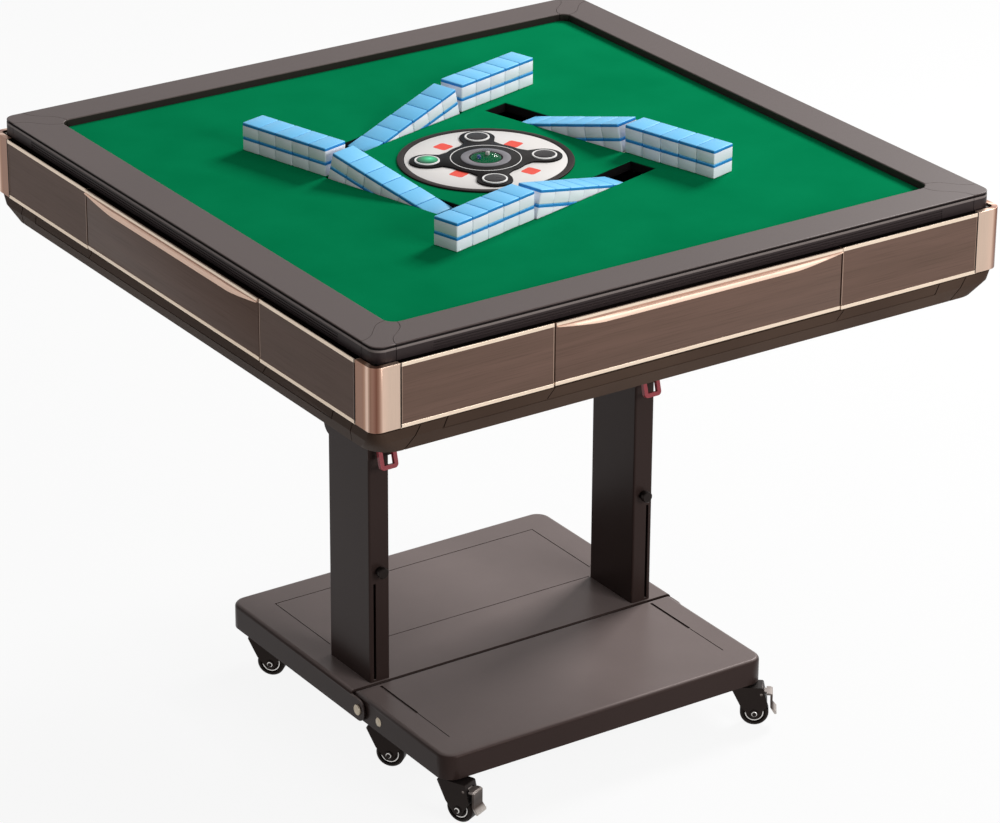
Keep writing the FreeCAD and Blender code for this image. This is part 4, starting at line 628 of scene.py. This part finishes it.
felt_curve = bpy.data.curves.new("felt_outline", "CURVE")
felt_curve.dimensions = "2D"
felt_curve.fill_mode = "BOTH"
felt_curve.extrude = FELT_THICK / 2 * MM
closed_line(felt_curve, [mm(x * BOARD_HALF, y * BOARD_HALF, 0) for x, y in SQUARE])
closed_line(felt_curve, [polar(CONSOLE_HOLE, angle) for angle in turns(96)])
corners = ((LANE_LEFT, LANE_NEAR), (LANE_RIGHT, LANE_NEAR), (LANE_RIGHT, LANE_FAR), (LANE_LEFT, LANE_FAR))
for quarter in range(4):
    closed_line(felt_curve, [rotated(WALL_TURN + 90 * quarter) @ mm(x, y, 0) for x, y in corners])
outline = new_object("felt_outline", felt_curve)
cloth = bmesh.new()
cloth.from_mesh(bpy.data.meshes.new_from_object(outline))
bpy.data.objects.remove(outline)
bmesh.ops.remove_doubles(cloth, verts=cloth.verts[:], dist=0.01 * MM)
moved(cloth, Matrix.Translation(mm(0, 0, FELT_LOW + FELT_THICK / 2)))
felt = make_piece("playing_felt", cloth, [green_felt()], "tabletop", ["felt"])

# %% [markdown]
# ## Console
# In the middle sits a round console of moulded ABS: a dark outer ring, a glossy white disc, a
# four-lobed black bezel with a push button in each lobe, and a clear dome over two dice.  Polished
# moulds leave hardly any grain, so these finishes differ in tone and gloss.

# %% Console finishes
GLOSS_BLACK = grained("gloss_black_abs", "0C0A0A", "1B1616", 5.0, 0.005, (0.4, 0.5), 0.04)
GLOSS_WHITE = grained("gloss_white_abs", "EDEBE8", "F4F2F0", 30.0, 0.003, (0.3, 0.36), 0.2)
DISC_WHITE = grained("warm_white_abs", "E4DFDB", "EBE7E4", 60.0, 0.003, (0.32, 0.36), 0.15)
RING_BROWN = grained("brown_black_abs", "221B19", "322926", 14.0, 0.01, (0.4, 0.5), 0.06)
SATIN_GREY = grained("satin_grey_abs", "6E6B70", "7E7B80", 20.0, 0.005, (0.34, 0.4), 0.2)
RED_PRINT = grained("red_screen_print", "EE4E3E", "F56152", 9.0, 0.003, (0.4, 0.46), 0.1)
DARK_CAP = grained("dark_smoked_acrylic", "191617", "3A3637", 9.0, 0.003, (0.25, 0.32), 0.08)
dress("console_disc", GLOSS_BLACK)
print("console finishes made")

# %% [markdown]
# The bezel's outline is worked out as one smooth distance for each angle, so that core, necks and lobes
# flow together, as a moulding does.  Rings of points at rising levels are joined into its body, and the
# upper ones draw in for a soft edge.

# %% Four-lobed bezel
CONSOLE_TOP = 795.5
LOBE_TURN = 65.0
CORE_RADIUS, LOBE_RADIUS, LOBE_REACH = 57.0, 24.5, 80.0
NECK_RISE, NECK_WIDE, NECK_POWER, NECK_BLEND = 30.0, 1.9, 1.6, 7.0
BEZEL_HIGH, BEZEL_EDGE = 2.5, 0.9
BEZEL_STEPS = 240


def smooth_larger(first, second, softness):
    """The larger of two distances, blended where they are close."""
    share = max(softness - abs(first - second), 0.0) / softness
    return max(first, second) + share * share * softness * 0.25


def lobe_distance(away):
    """How far a lobe reaches along a ray that leaves the centre at an angle from the lobe's middle."""
    side = LOBE_REACH * math.sin(away)
    if abs(away) > math.pi / 2 or abs(side) >= LOBE_RADIUS:
        return 0.0
    return LOBE_REACH * math.cos(away) + math.sqrt(LOBE_RADIUS ** 2 - side ** 2)


def bezel_reach(angle):
    away = (angle - math.radians(LOBE_TURN) + math.pi / 4) % (math.pi / 2) - math.pi / 4
    neck = max(0.0, 1.0 - abs(away) / (LOBE_RADIUS / LOBE_REACH * NECK_WIDE)) ** NECK_POWER
    return smooth_larger(CORE_RADIUS + NECK_RISE * neck, lobe_distance(away), NECK_BLEND)


def bridge(shape, low, high, finishes=None):
    """Joins two rings of the same number of points with a band of faces, each in its own finish."""
    count = len(low)
    for index in range(count):
        after = (index + 1) % count
        face = shape.faces.new((low[index], low[after], high[after], high[index]))
        face.material_index = finishes[index] if finishes else 0


def stack(shape, rings, finishes=None):
    """Joins rings of points one after another, and closes the first and the last."""
    rings = [list(map(shape.verts.new, points)) for points in rings]
    for low, high in zip(rings, rings[1:]):
        bridge(shape, low, high, finishes)
    shape.faces.new(rings[-1])
    shape.faces.new(rings[0][::-1])


bezel = bmesh.new()
levels = ((0.0, 0.0), (0.0, BEZEL_HIGH - BEZEL_EDGE), (0.35 * BEZEL_EDGE, BEZEL_HIGH - 0.35 * BEZEL_EDGE),
          (BEZEL_EDGE, BEZEL_HIGH))
stack(bezel, [[polar(bezel_reach(angle) - inset, angle, CONSOLE_TOP + rise)
               for angle in turns(BEZEL_STEPS)] for inset, rise in levels])
make_piece("console_lobed_bezel", bezel, [GLOSS_BLACK], "tabletop", ["console_bezel"])
print("bezel reaches", round(bezel_reach(math.radians(LOBE_TURN)), 1), "mm from its middle")

# %% [markdown]
# A ring is a flat band with rounded edges, spun round its own centre.  One function makes every ring
# on the console and on the casters.

# %% Console rings
BEZEL_TOP = CONSOLE_TOP + BEZEL_HIGH


def ring(radius, height, steps):
    """A ring of points at one radius and height."""
    return [polar(radius, angle, height) for angle in turns(steps)]


def spin_band(shape, inner, outer, low, high, edge, steps=72):
    """A flat ring with softened upper edges, standing on a level."""
    soft = edge * 0.3
    profile = ((outer, low), (outer, high - edge), (outer - soft, high - soft), (outer - edge, high),
               (inner + edge, high), (inner + soft, high - soft), (inner, high - edge), (inner, low))
    rings = [list(map(shape.verts.new, ring(radius, height, steps))) for radius, height in profile]
    for before, after in zip(rings, rings[1:] + rings[:1]):
        bridge(shape, before, after)


RINGS = (  # name, inner and outer radius, level, foot and top from there, edge, steps, finish, slot
    ("console_white_disc", 30.0, 110.2, CONSOLE_TOP, -0.2, 0.2, 0.15, 128, DISC_WHITE, "white_plastic"),
    ("console_outer_ring", 111.4, 119.9, CONSOLE_TOP, -1.4, 0.7, 0.6, 128, RING_BROWN, "black_plastic"),
    ("console_thin_ring", 47.3, 48.5, BEZEL_TOP, -0.1, 0.2, 0.1, 72, GLOSS_WHITE, "white_plastic"),
    ("dome_collar", 23.0, 34.0, BEZEL_TOP, -0.1, 1.2, 0.9, 72, SATIN_GREY, "white_plastic"),
)
for name, inner, outer, base, foot, top, edge, steps, finish, slot in RINGS:
    band = bmesh.new()
    spin_band(band, inner, outer, base + foot, base + top, edge, steps)
    make_piece(name, band, [finish], "tabletop")
print(len(RINGS), "console rings made")

# %% [markdown]
# Between the lobes the disc carries four screen-printed red squares with round corners, each turned to
# face the middle.  Ink is flat and matt, and lies on the surface, so they are very thin plates.

# %% Printed squares
LABELS = ((24, 70), (107, 75), (203, 65), (291, 74))  # degrees round and reach
LABEL_HALF, LABEL_CORNER = 10.6, 4.0


def rounded_square(shape, move):
    """A thin plate with round corners, turned and moved into place."""
    rim, inset = [], LABEL_HALF - LABEL_CORNER
    for right, up, start in ((1, 1, 0), (-1, 1, 90), (-1, -1, 180), (1, -1, 270)):
        corner = mm(right * inset, up * inset, CONSOLE_TOP)
        rim += [move @ (corner + polar(LABEL_CORNER, math.radians(start + 15 * step))) for step in range(7)]
    stack(shape, [[point + mm(0, 0, height) for point in rim] for height in (0.1, 0.3)])


labels = bmesh.new()
for degrees, reach in LABELS:
    rounded_square(labels, Matrix.Translation(polar(reach, math.radians(degrees))) @ rotated(degrees))
make_piece("printed_red_squares", labels, [RED_PRINT], "tabletop")
print(len(LABELS), "printed squares made")

# %% [markdown]
# Each lobe holds a push button: a round acrylic cap in a white collar.  A cap stands 1.8 mm proud, so
# that a full press of 1.5 mm leaves it in sight.  One is lit from behind, and its green fades away from
# one bright spot.

# %% Buttons
CAP_RADIUS = 14.0
CAP_FOOT, CAP_EDGE, CAP_CROWN = BEZEL_TOP - 0.3, BEZEL_TOP + 1.8, BEZEL_TOP + 2.5
COLLAR = (14.6, 17.2, BEZEL_TOP - 0.1, BEZEL_TOP + 1.6, 0.6)
GLOW_BANDS = ((0, "6FE3B0"), (3, "2FBE84"), (9, "0F8A58"), (15, "06543A"), (20, "033626"))


def lit_green():
    """Green acrylic with a lamp behind its right half."""
    material, tree, shader = start_material("lit_green_acrylic", 0.15, Roughness=0.3, Emission_Strength=0.3)
    spot = polar(LOBE_REACH, math.radians(LOBE_TURN + 90), BEZEL_TOP + 1.0) + mm(4.5, 0, 0)
    place = add(tree, "TexCoord", out="Object")
    away = add(tree, "VectorMath", {0: place, 1: spot}, out="Value", operation="DISTANCE")
    tone = banded(tree, away, GLOW_BANDS)
    tree.links.new(tone, shader.inputs["Base Color"])
    tree.links.new(tone, shader.inputs["Emission Color"])
    return material


def dome_profile(radius, low, high, steps):
    """Radius and height of the rings of a dome that rises gently from its edge to its middle."""
    angles = [math.pi / 2 * step / steps for step in range(steps)]
    return [(radius * math.cos(angle), low + (high - low) * math.sin(angle)) for angle in angles]


def spin_solid(shape, profile, steps):
    """Spins a profile of radius and height into a closed solid."""
    stack(shape, [ring(radius, height, steps) for radius, height in profile])


LIT_GREEN = lit_green()
cap_profile = [(CAP_RADIUS, CAP_FOOT), (CAP_RADIUS, CAP_EDGE - 0.4), (CAP_RADIUS - 0.12, CAP_EDGE - 0.12),
               (CAP_RADIUS * 0.97, CAP_EDGE)] + dome_profile(CAP_RADIUS, CAP_EDGE, CAP_CROWN, 6)[1:]
for quarter, side in enumerate(SIDES):
    centre = polar(LOBE_REACH, math.radians(LOBE_TURN + 90 * quarter))
    collar, cap = bmesh.new(), bmesh.new()
    spin_band(collar, *COLLAR)
    spin_solid(cap, cap_profile, 48)
    moved(collar, Matrix.Translation(centre))
    moved(cap, Matrix.Translation(centre))
    make_piece(side + "_button_ring", collar, [GLOSS_WHITE], "tabletop")
    make_piece(side + "_button_cap", cap, [LIT_GREEN if side == "right" else DARK_CAP], "button_" + side,
               ["button_" + side])
print("four buttons made")

# %% [markdown]
# The dome is clear polycarbonate, thin enough to show no bending of what is under it.  It is drawn as a
# nearly transparent skin that keeps the plastic's faint reflection.  Under it lie a green pad and two
# dice with round pips.

# %% Dome, pad and dice
CLEAR_DOME = start_material("clear_polycarbonate", Base_Color="1C2220", Roughness=0.06, IOR=1.58,
                            Alpha=0.14)[0]
PAD_GREEN = grained("green_dice_pad", "0A6A42", "0F7C4E", 2.0, 0.05, (0.9, 1.0), 0.0)
RED_DYE = start_material("red_pip_dye", Base_Color="B3202A", Roughness=0.4)[0]
BLUE_DYE = start_material("blue_pip_dye", Base_Color="1F4F9E", Roughness=0.4)[0]
PAD_TOP, PAD_FOOT_RADIUS, PAD_RADIUS = BEZEL_TOP + 0.4, 20.8, 20.6
DIE_SIDE, DIE_EDGE = 5.0, 0.8
PIP_REACH, PIP_RADIUS = 1.3, 0.5
ONE, TWO = [(0, 0)], [(-1, -1), (1, 1)]
FOUR = TWO + [(-1, 1), (1, -1)]
PIPS = (  # the pips of each face, and the turn that takes them there from the top
    (ONE, 0, "X"), (FOUR + [(-1, 0), (1, 0)], 180, "X"), (TWO, 90, "X"), (FOUR + ONE, -90, "X"),
    (TWO + ONE, 90, "Y"), (FOUR, -90, "Y"))
DICE = (("die_one", (7.5, 7.0), 0.5, [GLOSS_WHITE, RED_DYE]),
        ("die_two", (-10.0, 2.0), -0.35, [BLUE_DYE, GLOSS_WHITE]))


def die_shape():
    """A cube with rounded edges and a shallow disc of the second finish for every pip."""
    shape = bmesh.new()
    bmesh.ops.create_cube(shape, size=DIE_SIDE * MM)
    rounded(shape, DIE_EDGE, 3)
    for pips, degrees, axis in PIPS:
        for x, y in pips:
            spot = mm(x * PIP_REACH, y * PIP_REACH, DIE_SIDE / 2 + 0.02)
            made = bmesh.ops.create_circle(shape, cap_ends=True, segments=16, radius=PIP_RADIUS * MM,
                                           matrix=rotated(degrees, axis) @ Matrix.Translation(spot))
            for face in {face for vert in made["verts"] for face in vert.link_faces}:
                face.material_index = 1
    return shape


dress("dice_dome", CLEAR_DOME)
pad = bmesh.new()
foot = list(map(pad.verts.new, ring(PAD_FOOT_RADIUS, BEZEL_TOP, 64)))
rim = list(map(pad.verts.new, ring(PAD_RADIUS, PAD_TOP, 64)))
bridge(pad, foot, rim)
pad.faces.new(rim)
make_piece("dice_pad", pad, [PAD_GREEN], "tabletop")
for name, spot, spin, finishes in DICE:
    die = die_shape()
    moved(die, Matrix.Translation(mm(*spot, PAD_TOP + DIE_SIDE / 2)) @ Matrix.Rotation(spin, 4, "Z"))
    make_piece(name, die, finishes, "tabletop")
print("dome, pad and dice in place")

# %% [markdown]
# ## Drawer fronts
# Each side of the top has a drawer.  Its front is a veneered board with a champagne trim along the
# bottom.  The pull is one extruded and milled strip along the top edge: a narrow cream rail above, which
# carries the line of the panel trims on, and a rose lip below that grows wider in the middle, where the
# fingers go, with a milled groove to hook them in; the groove's faces take a darker rose, as painted
# shade.  It is swept as a row of cross-sections, each a little different from the last.

# %% Drawer fronts
face_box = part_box("front_drawer_face")
FASCIA, FACE_BACK = 490.0, 481.0
FACE_HALF = face_box[1][0] / MM - 0.6
FACE_LOW, FACE_HIGH = face_box[0][2] / MM, face_box[1][2] / MM
TRIM_HIGH, TRIM_PROUD = 5.0, 0.5
RAIL_HIGH, RAIL_PROUD, LIP_PROUD = 3.4, 2.2, 4.0
PULL_DEEP, PULL_END, PULL_FLAT = 14.4, 5.2, 150.0
GROOVE_DEEP, GROOVE_END, GROOVE_RUN = 1.6, 150.0, 35.0
LIP, RAIL, GROOVE = 0, 1, 2
PULL_BANDS = (RAIL, RAIL, RAIL, GROOVE, GROOVE, LIP, LIP, LIP, LIP, LIP, LIP)


def ease(share):
    share = min(max(share, 0.0), 1.0)
    return share * share * (3 - 2 * share)


def pull_section(across):
    """Cross-section of the pull: the rail above, the groove, and the lip below."""
    near_end = min(max((abs(across) - PULL_FLAT) / (FACE_HALF - PULL_FLAT), 0.0), 1.0) ** 1.3
    low = FACE_HIGH - PULL_DEEP + near_end * (PULL_DEEP - PULL_END)
    rail = FACE_HIGH - RAIL_HIGH
    lip = rail - low
    groove = GROOVE_DEEP * ease((GROOVE_END - abs(across)) / GROOVE_RUN)
    points = ((0.0, FACE_HIGH), (RAIL_PROUD - 0.4, FACE_HIGH), (RAIL_PROUD, FACE_HIGH - 0.4),
              (RAIL_PROUD, rail), (RAIL_PROUD - groove, rail - lip * 0.03),
              (RAIL_PROUD - groove * 0.7, rail - lip * 0.3), (LIP_PROUD - 0.8, rail - lip * 0.42),
              (LIP_PROUD, rail - lip * 0.6), (LIP_PROUD, low + 0.8), (LIP_PROUD - 0.8, low), (0.0, low))
    return [mm(across, -(FASCIA + proud), height) for proud, height in points]


STATIONS = [FACE_HALF * math.sin(math.pi / 2 * step / 36) for step in range(-36, 37)]
TRIM_TOP = FACE_LOW + TRIM_HIGH
for quarter, side in enumerate(SIDES):
    board, pull, trim = bmesh.new(), bmesh.new(), bmesh.new()
    block(board, (-FACE_HALF, -FASCIA, TRIM_TOP), (FACE_HALF, -FACE_BACK, FACE_HIGH - 0.1), 0.4)
    stack(pull, [pull_section(across) for across in STATIONS], PULL_BANDS)
    bmesh.ops.recalc_face_normals(pull, faces=pull.faces[:])
    block(trim, (-FACE_HALF, -FASCIA - TRIM_PROUD, FACE_LOW), (FACE_HALF, -FACE_BACK, TRIM_TOP), 0.4)
    for word, shape, finishes, slot, stands_for in (
            ("board", board, [WALNUT], "walnut", [side + "_drawer_face"]),
            ("pull", pull, [ROSE_PULL, CHAMPAGNE, ROSE_GROOVE_SHADE], "bronze", ()),
            ("trim", trim, [CHAMPAGNE], "champagne", ())):
        moved(shape, rotated(90 * quarter))
        make_piece(side + "_drawer_" + word, shape, finishes, side + "_drawer", stands_for)
print("four drawer fronts,", round(FACE_HIGH - FACE_LOW, 1), "mm high, with pulls and trims")

# %% [markdown]
# Between the rim and the fascia runs a dark slot, and a thin matt black strip lies in it as painted
# shade.  On each drawer it is cut off and moves with the front; elsewhere it follows the corners, a
# little deeper behind the caps.  The panels' upright edges carry a thin pale bronze strip, a painted
# highlight, and a dark strip in the joint beside each cap is painted shade.

# %% Painted slot shade, edge highlights and joint shade
# A matt black strip on the ledge under the rim: painted shade.
SLOT_SHADE_BLACK = grained("slot_painted_shade", "0B0908", "151110", 1.5, 0.2, (0.9, 1.0), 0.0)
# Pale bronze strips on the panels' upright edges: painted highlights.
PAINTED_EDGE_HIGHLIGHT = anodised("painted_edge_highlight", "8F7666", "A08676", (0.35, 0.45), 0.5, BRUSHED_UP)
PANEL_START, CAP_START = 225.0, 449.5
STRIP_FRONT, CAP_BACK = FASCIA - 1.2, FASCIA - 8.0
STRIP_LOW, STRIP_HIGH = FACE_HIGH - 0.3, FACE_HIGH + 0.3
BEND_MIDDLE = FASCIA - 14.0
RUNS = ((PANEL_START, CAP_START, STRIP_FRONT), (CAP_START, BEND_MIDDLE, CAP_BACK))  # start, end, front


def corner_wedge(shape):
    """A quarter of a disc about the middle of a corner's curve: it carries a strip round the corner."""
    middle, radius = mm(BEND_MIDDLE, -BEND_MIDDLE, 0), CAP_BACK - BEND_MIDDLE
    rim = [middle] + [middle + polar(radius, math.radians(-90 + 9 * step)) for step in range(11)]
    stack(shape, [[point + mm(0, 0, height) for point in rim] for height in (STRIP_LOW, STRIP_HIGH)])


strips, edge_highlight_strips, joint_shade_strips = bmesh.new(), bmesh.new(), bmesh.new()
EDGE_HIGHLIGHT_ENDS = (TRIM_TOP, FACE_HIGH - TRIM_HIGH)
UPRIGHTS = (  # shape, start, width, how far it stands proud, lower and upper end
    (edge_highlight_strips, PANEL_START + 0.1, 1.3, 0.15, EDGE_HIGHLIGHT_ENDS),
    (edge_highlight_strips, CAP_START - 2.4, 1.3, 0.15, EDGE_HIGHLIGHT_ENDS),
    (joint_shade_strips, CAP_START - 1.1, 1.5, 0.65, (FACE_LOW, FACE_HIGH)),
)
for quarter, side in enumerate(SIDES):
    strip = bmesh.new()
    block(strip, (-FACE_HALF, -STRIP_FRONT, STRIP_LOW), (FACE_HALF, -FACE_BACK, STRIP_HIGH))
    moved(strip, rotated(90 * quarter))
    make_piece(side + "_drawer_slot_shade", strip, [SLOT_SHADE_BLACK], side + "_drawer")
for quarter in range(4):
    starts = [(shape, len(shape.verts)) for shape in (strips, edge_highlight_strips, joint_shade_strips)]
    for hand in (-1, 1):
        for first, last, front in RUNS:
            ends = sorted((hand * first, hand * last))
            block(strips, (ends[0], -front, STRIP_LOW), (ends[1], -FACE_BACK, STRIP_HIGH))
        for shape, place, wide, proud, (low, high) in UPRIGHTS:
            ends = sorted((hand * place, hand * (place + wide)))
            block(shape, (ends[0], -FASCIA - proud, low), (ends[1], -FACE_BACK, high))
    corner_wedge(strips)
    for shape, start in starts:
        moved(shape, rotated(90 * quarter), start)
# A dark strip in the joint beside each cap: painted shade.
make_piece("cap_joint_shade", joint_shade_strips, [BLACK_NYLON], "tabletop")
make_piece("panel_slot_shade", strips, [SLOT_SHADE_BLACK], "tabletop")
make_piece("panel_edge_highlights", edge_highlight_strips, [PAINTED_EDGE_HIGHLIGHT], "tabletop")
print("dust strips, edge bindings and seals in place")

# %% [markdown]
# ## Casters and screws
# A furniture caster wheel is a moulded nylon disc with a plated ring pressed into each face and a
# rivet head on the axle.  These thin bright parts are what the eye finds first on a small black wheel.

# %% Wheel rings and axle heads
STEM_SPREAD = 243.0
STEM_ROWS = {"front": -299.0, "middle": -121.0, "rear": 196.0}
HEADINGS = (-66, -37, -51, -45, -48, -40)
TRAIL, WHEEL_RADIUS, WHEEL_HALF = 10.0, 20.0, 9.0
HEAD_RADIUS, AXLE_END = 4.2, 15.3
WHEEL_RING = (11.4, 13.0, WHEEL_HALF - 2.6, WHEEL_HALF - 1.2, 0.4)


def dome_head(shape, radius, low, high):
    """A low round head, like a rivet's."""
    spin_solid(shape, dome_profile(radius, low, high, 5), 32)


for word, heading in zip(CASTERS, HEADINGS):
    row, hand = word.split("_")
    stem = mm(STEM_SPREAD if hand == "right" else -STEM_SPREAD, STEM_ROWS[row], 0)
    hub = Matrix.Translation(stem) @ rotated(heading) @ Matrix.Translation(mm(TRAIL, 0, WHEEL_RADIUS))
    rings, heads = bmesh.new(), bmesh.new()
    for face in (1, -1):
        outward = hub @ rotated(90 * face, "X")
        starts = [(shape, len(shape.verts)) for shape in (rings, heads)]
        spin_band(rings, *WHEEL_RING)
        dome_head(heads, HEAD_RADIUS, AXLE_END - 1.6, AXLE_END - 0.2)
        for shape, start in starts:
            moved(shape, outward, start)
    make_piece("wheel_rings_" + word, rings, [BRIGHT_STEEL], "caster_roll_" + word)
    make_piece("axle_heads_" + word, heads, [BRIGHT_STEEL], "caster_swivel_" + word)
print(len(CASTERS), "casters have their rings and rivets")

# %% [markdown]
# A second brass-plated screw sits behind each fold bolt.  It holds the small deck's side to its caster
# bar, so it rides with the small deck.

# %% Deck side screws
SCREW_SPOT = (265.5, -141, 79)
SCREW_RADIUS, SCREW_PROUD = 6.5, 1.8
for hand, side in zip(HANDS, (-1, 1)):
    screw = bmesh.new()
    dome_head(screw, SCREW_RADIUS, 0.0, SCREW_PROUD)
    spot = mm(side * SCREW_SPOT[0], *SCREW_SPOT[1:])
    moved(screw, Matrix.Translation(spot) @ rotated(90 * side, "Y"))
    make_piece("deck_side_screw_" + hand, screw, [BRASS_BOLT], "front_deck")
print("two deck side screws made")

# %% [markdown]
# ## Floor and light
# The table stands on a plain pale floor in a white room.  Two large soft lamps and the room's own light
# keep the level plain, so that a colour renders about as it is written.  For the camera, and for rays
# that reflect in metal or pass through the clear dome, the room is white; the floor still takes the
# table's soft shadow.

# %% Floor, room and lamps
LIGHT_ROOM, ROOM_LIGHT = (1.0, 0.99, 0.98, 1.0), 0.27
FLOOR_HALF, FLOOR_WHITE = 30.0, 0.9
LAMP_AIM = Vector((0.0, 0.0, 0.7))
LAMPS = (("key_lamp", (3.0, 1.0, 3.0), (1.2, 1.2), 150.0),
         ("front_lamp", (1.2, -4.0, 2.2), (2.2, 1.6), 105.0))


def seen_directly(tree):
    """1 for camera rays and for rays in reflections or clear parts, otherwise 0."""
    camera_ray, glossy_ray, clear_ray = [add(tree, "LightPath", out=kind) for kind in (
        "Is Camera Ray", "Is Glossy Ray", "Is Transmission Ray")]
    first = add(tree, "Math", {0: camera_ray, 1: glossy_ray}, operation="MAXIMUM")
    return add(tree, "Math", {0: first, 1: clear_ray}, operation="MAXIMUM")


pale = bpy.data.materials.new("pale_floor_paint")
pale.use_nodes = True
tree = pale.node_tree
tree.nodes.clear()
speckle = add(tree, "TexNoise", {"Vector": add(tree, "TexCoord", out="Object"), "Scale": 2.0, "Detail": 2.0})
paint = add(tree, "Mix", {FACTOR: speckle, LOW: "DADADA", HIGH: "E2E2E2"}, **COLOURS)
matt = add(tree, "BsdfDiffuse", {"Color": paint})
white = add(tree, "Emission", {"Color": NEUTRAL, "Strength": 1.0})
share = add(tree, "Math", {0: seen_directly(tree), 1: FLOOR_WHITE}, operation="MULTIPLY")
add(tree, "OutputMaterial", {"Surface": add(tree, "MixShader", {0: share, 1: matt, 2: white})})
floor_mesh = bpy.data.meshes.new("floor")
floor_mesh.from_pydata([(x * FLOOR_HALF, y * FLOOR_HALF, 0.0) for x, y in SQUARE], [], [range(4)])
floor_mesh.materials.append(pale)
floor = new_object("floor", floor_mesh)

room = bpy.data.worlds.new("white_room")
room.use_nodes = True
tree = room.node_tree
tree.nodes.clear()
even = add(tree, "Background", {"Color": LIGHT_ROOM, "Strength": ROOM_LIGHT})
bright = add(tree, "Background", {"Color": NEUTRAL, "Strength": 1.0})
add(tree, "OutputWorld", {"Surface": add(tree, "MixShader", {0: seen_directly(tree), 1: even, 2: bright})})
bpy.context.scene.world = room

for name, spot, size, power in LAMPS:
    data = bpy.data.lights.new(name, "AREA")
    data.shape = "RECTANGLE"
    data.size, data.size_y = size
    data.energy = power
    lamp = new_object(name, data)
    lamp.location = spot
    lamp.rotation_euler = (LAMP_AIM - Vector(spot)).to_track_quat("-Z", "Y").to_euler()
bpy.context.scene.view_settings.view_transform = "Standard"
print("floor, room and", len(LAMPS), "lamps in place")
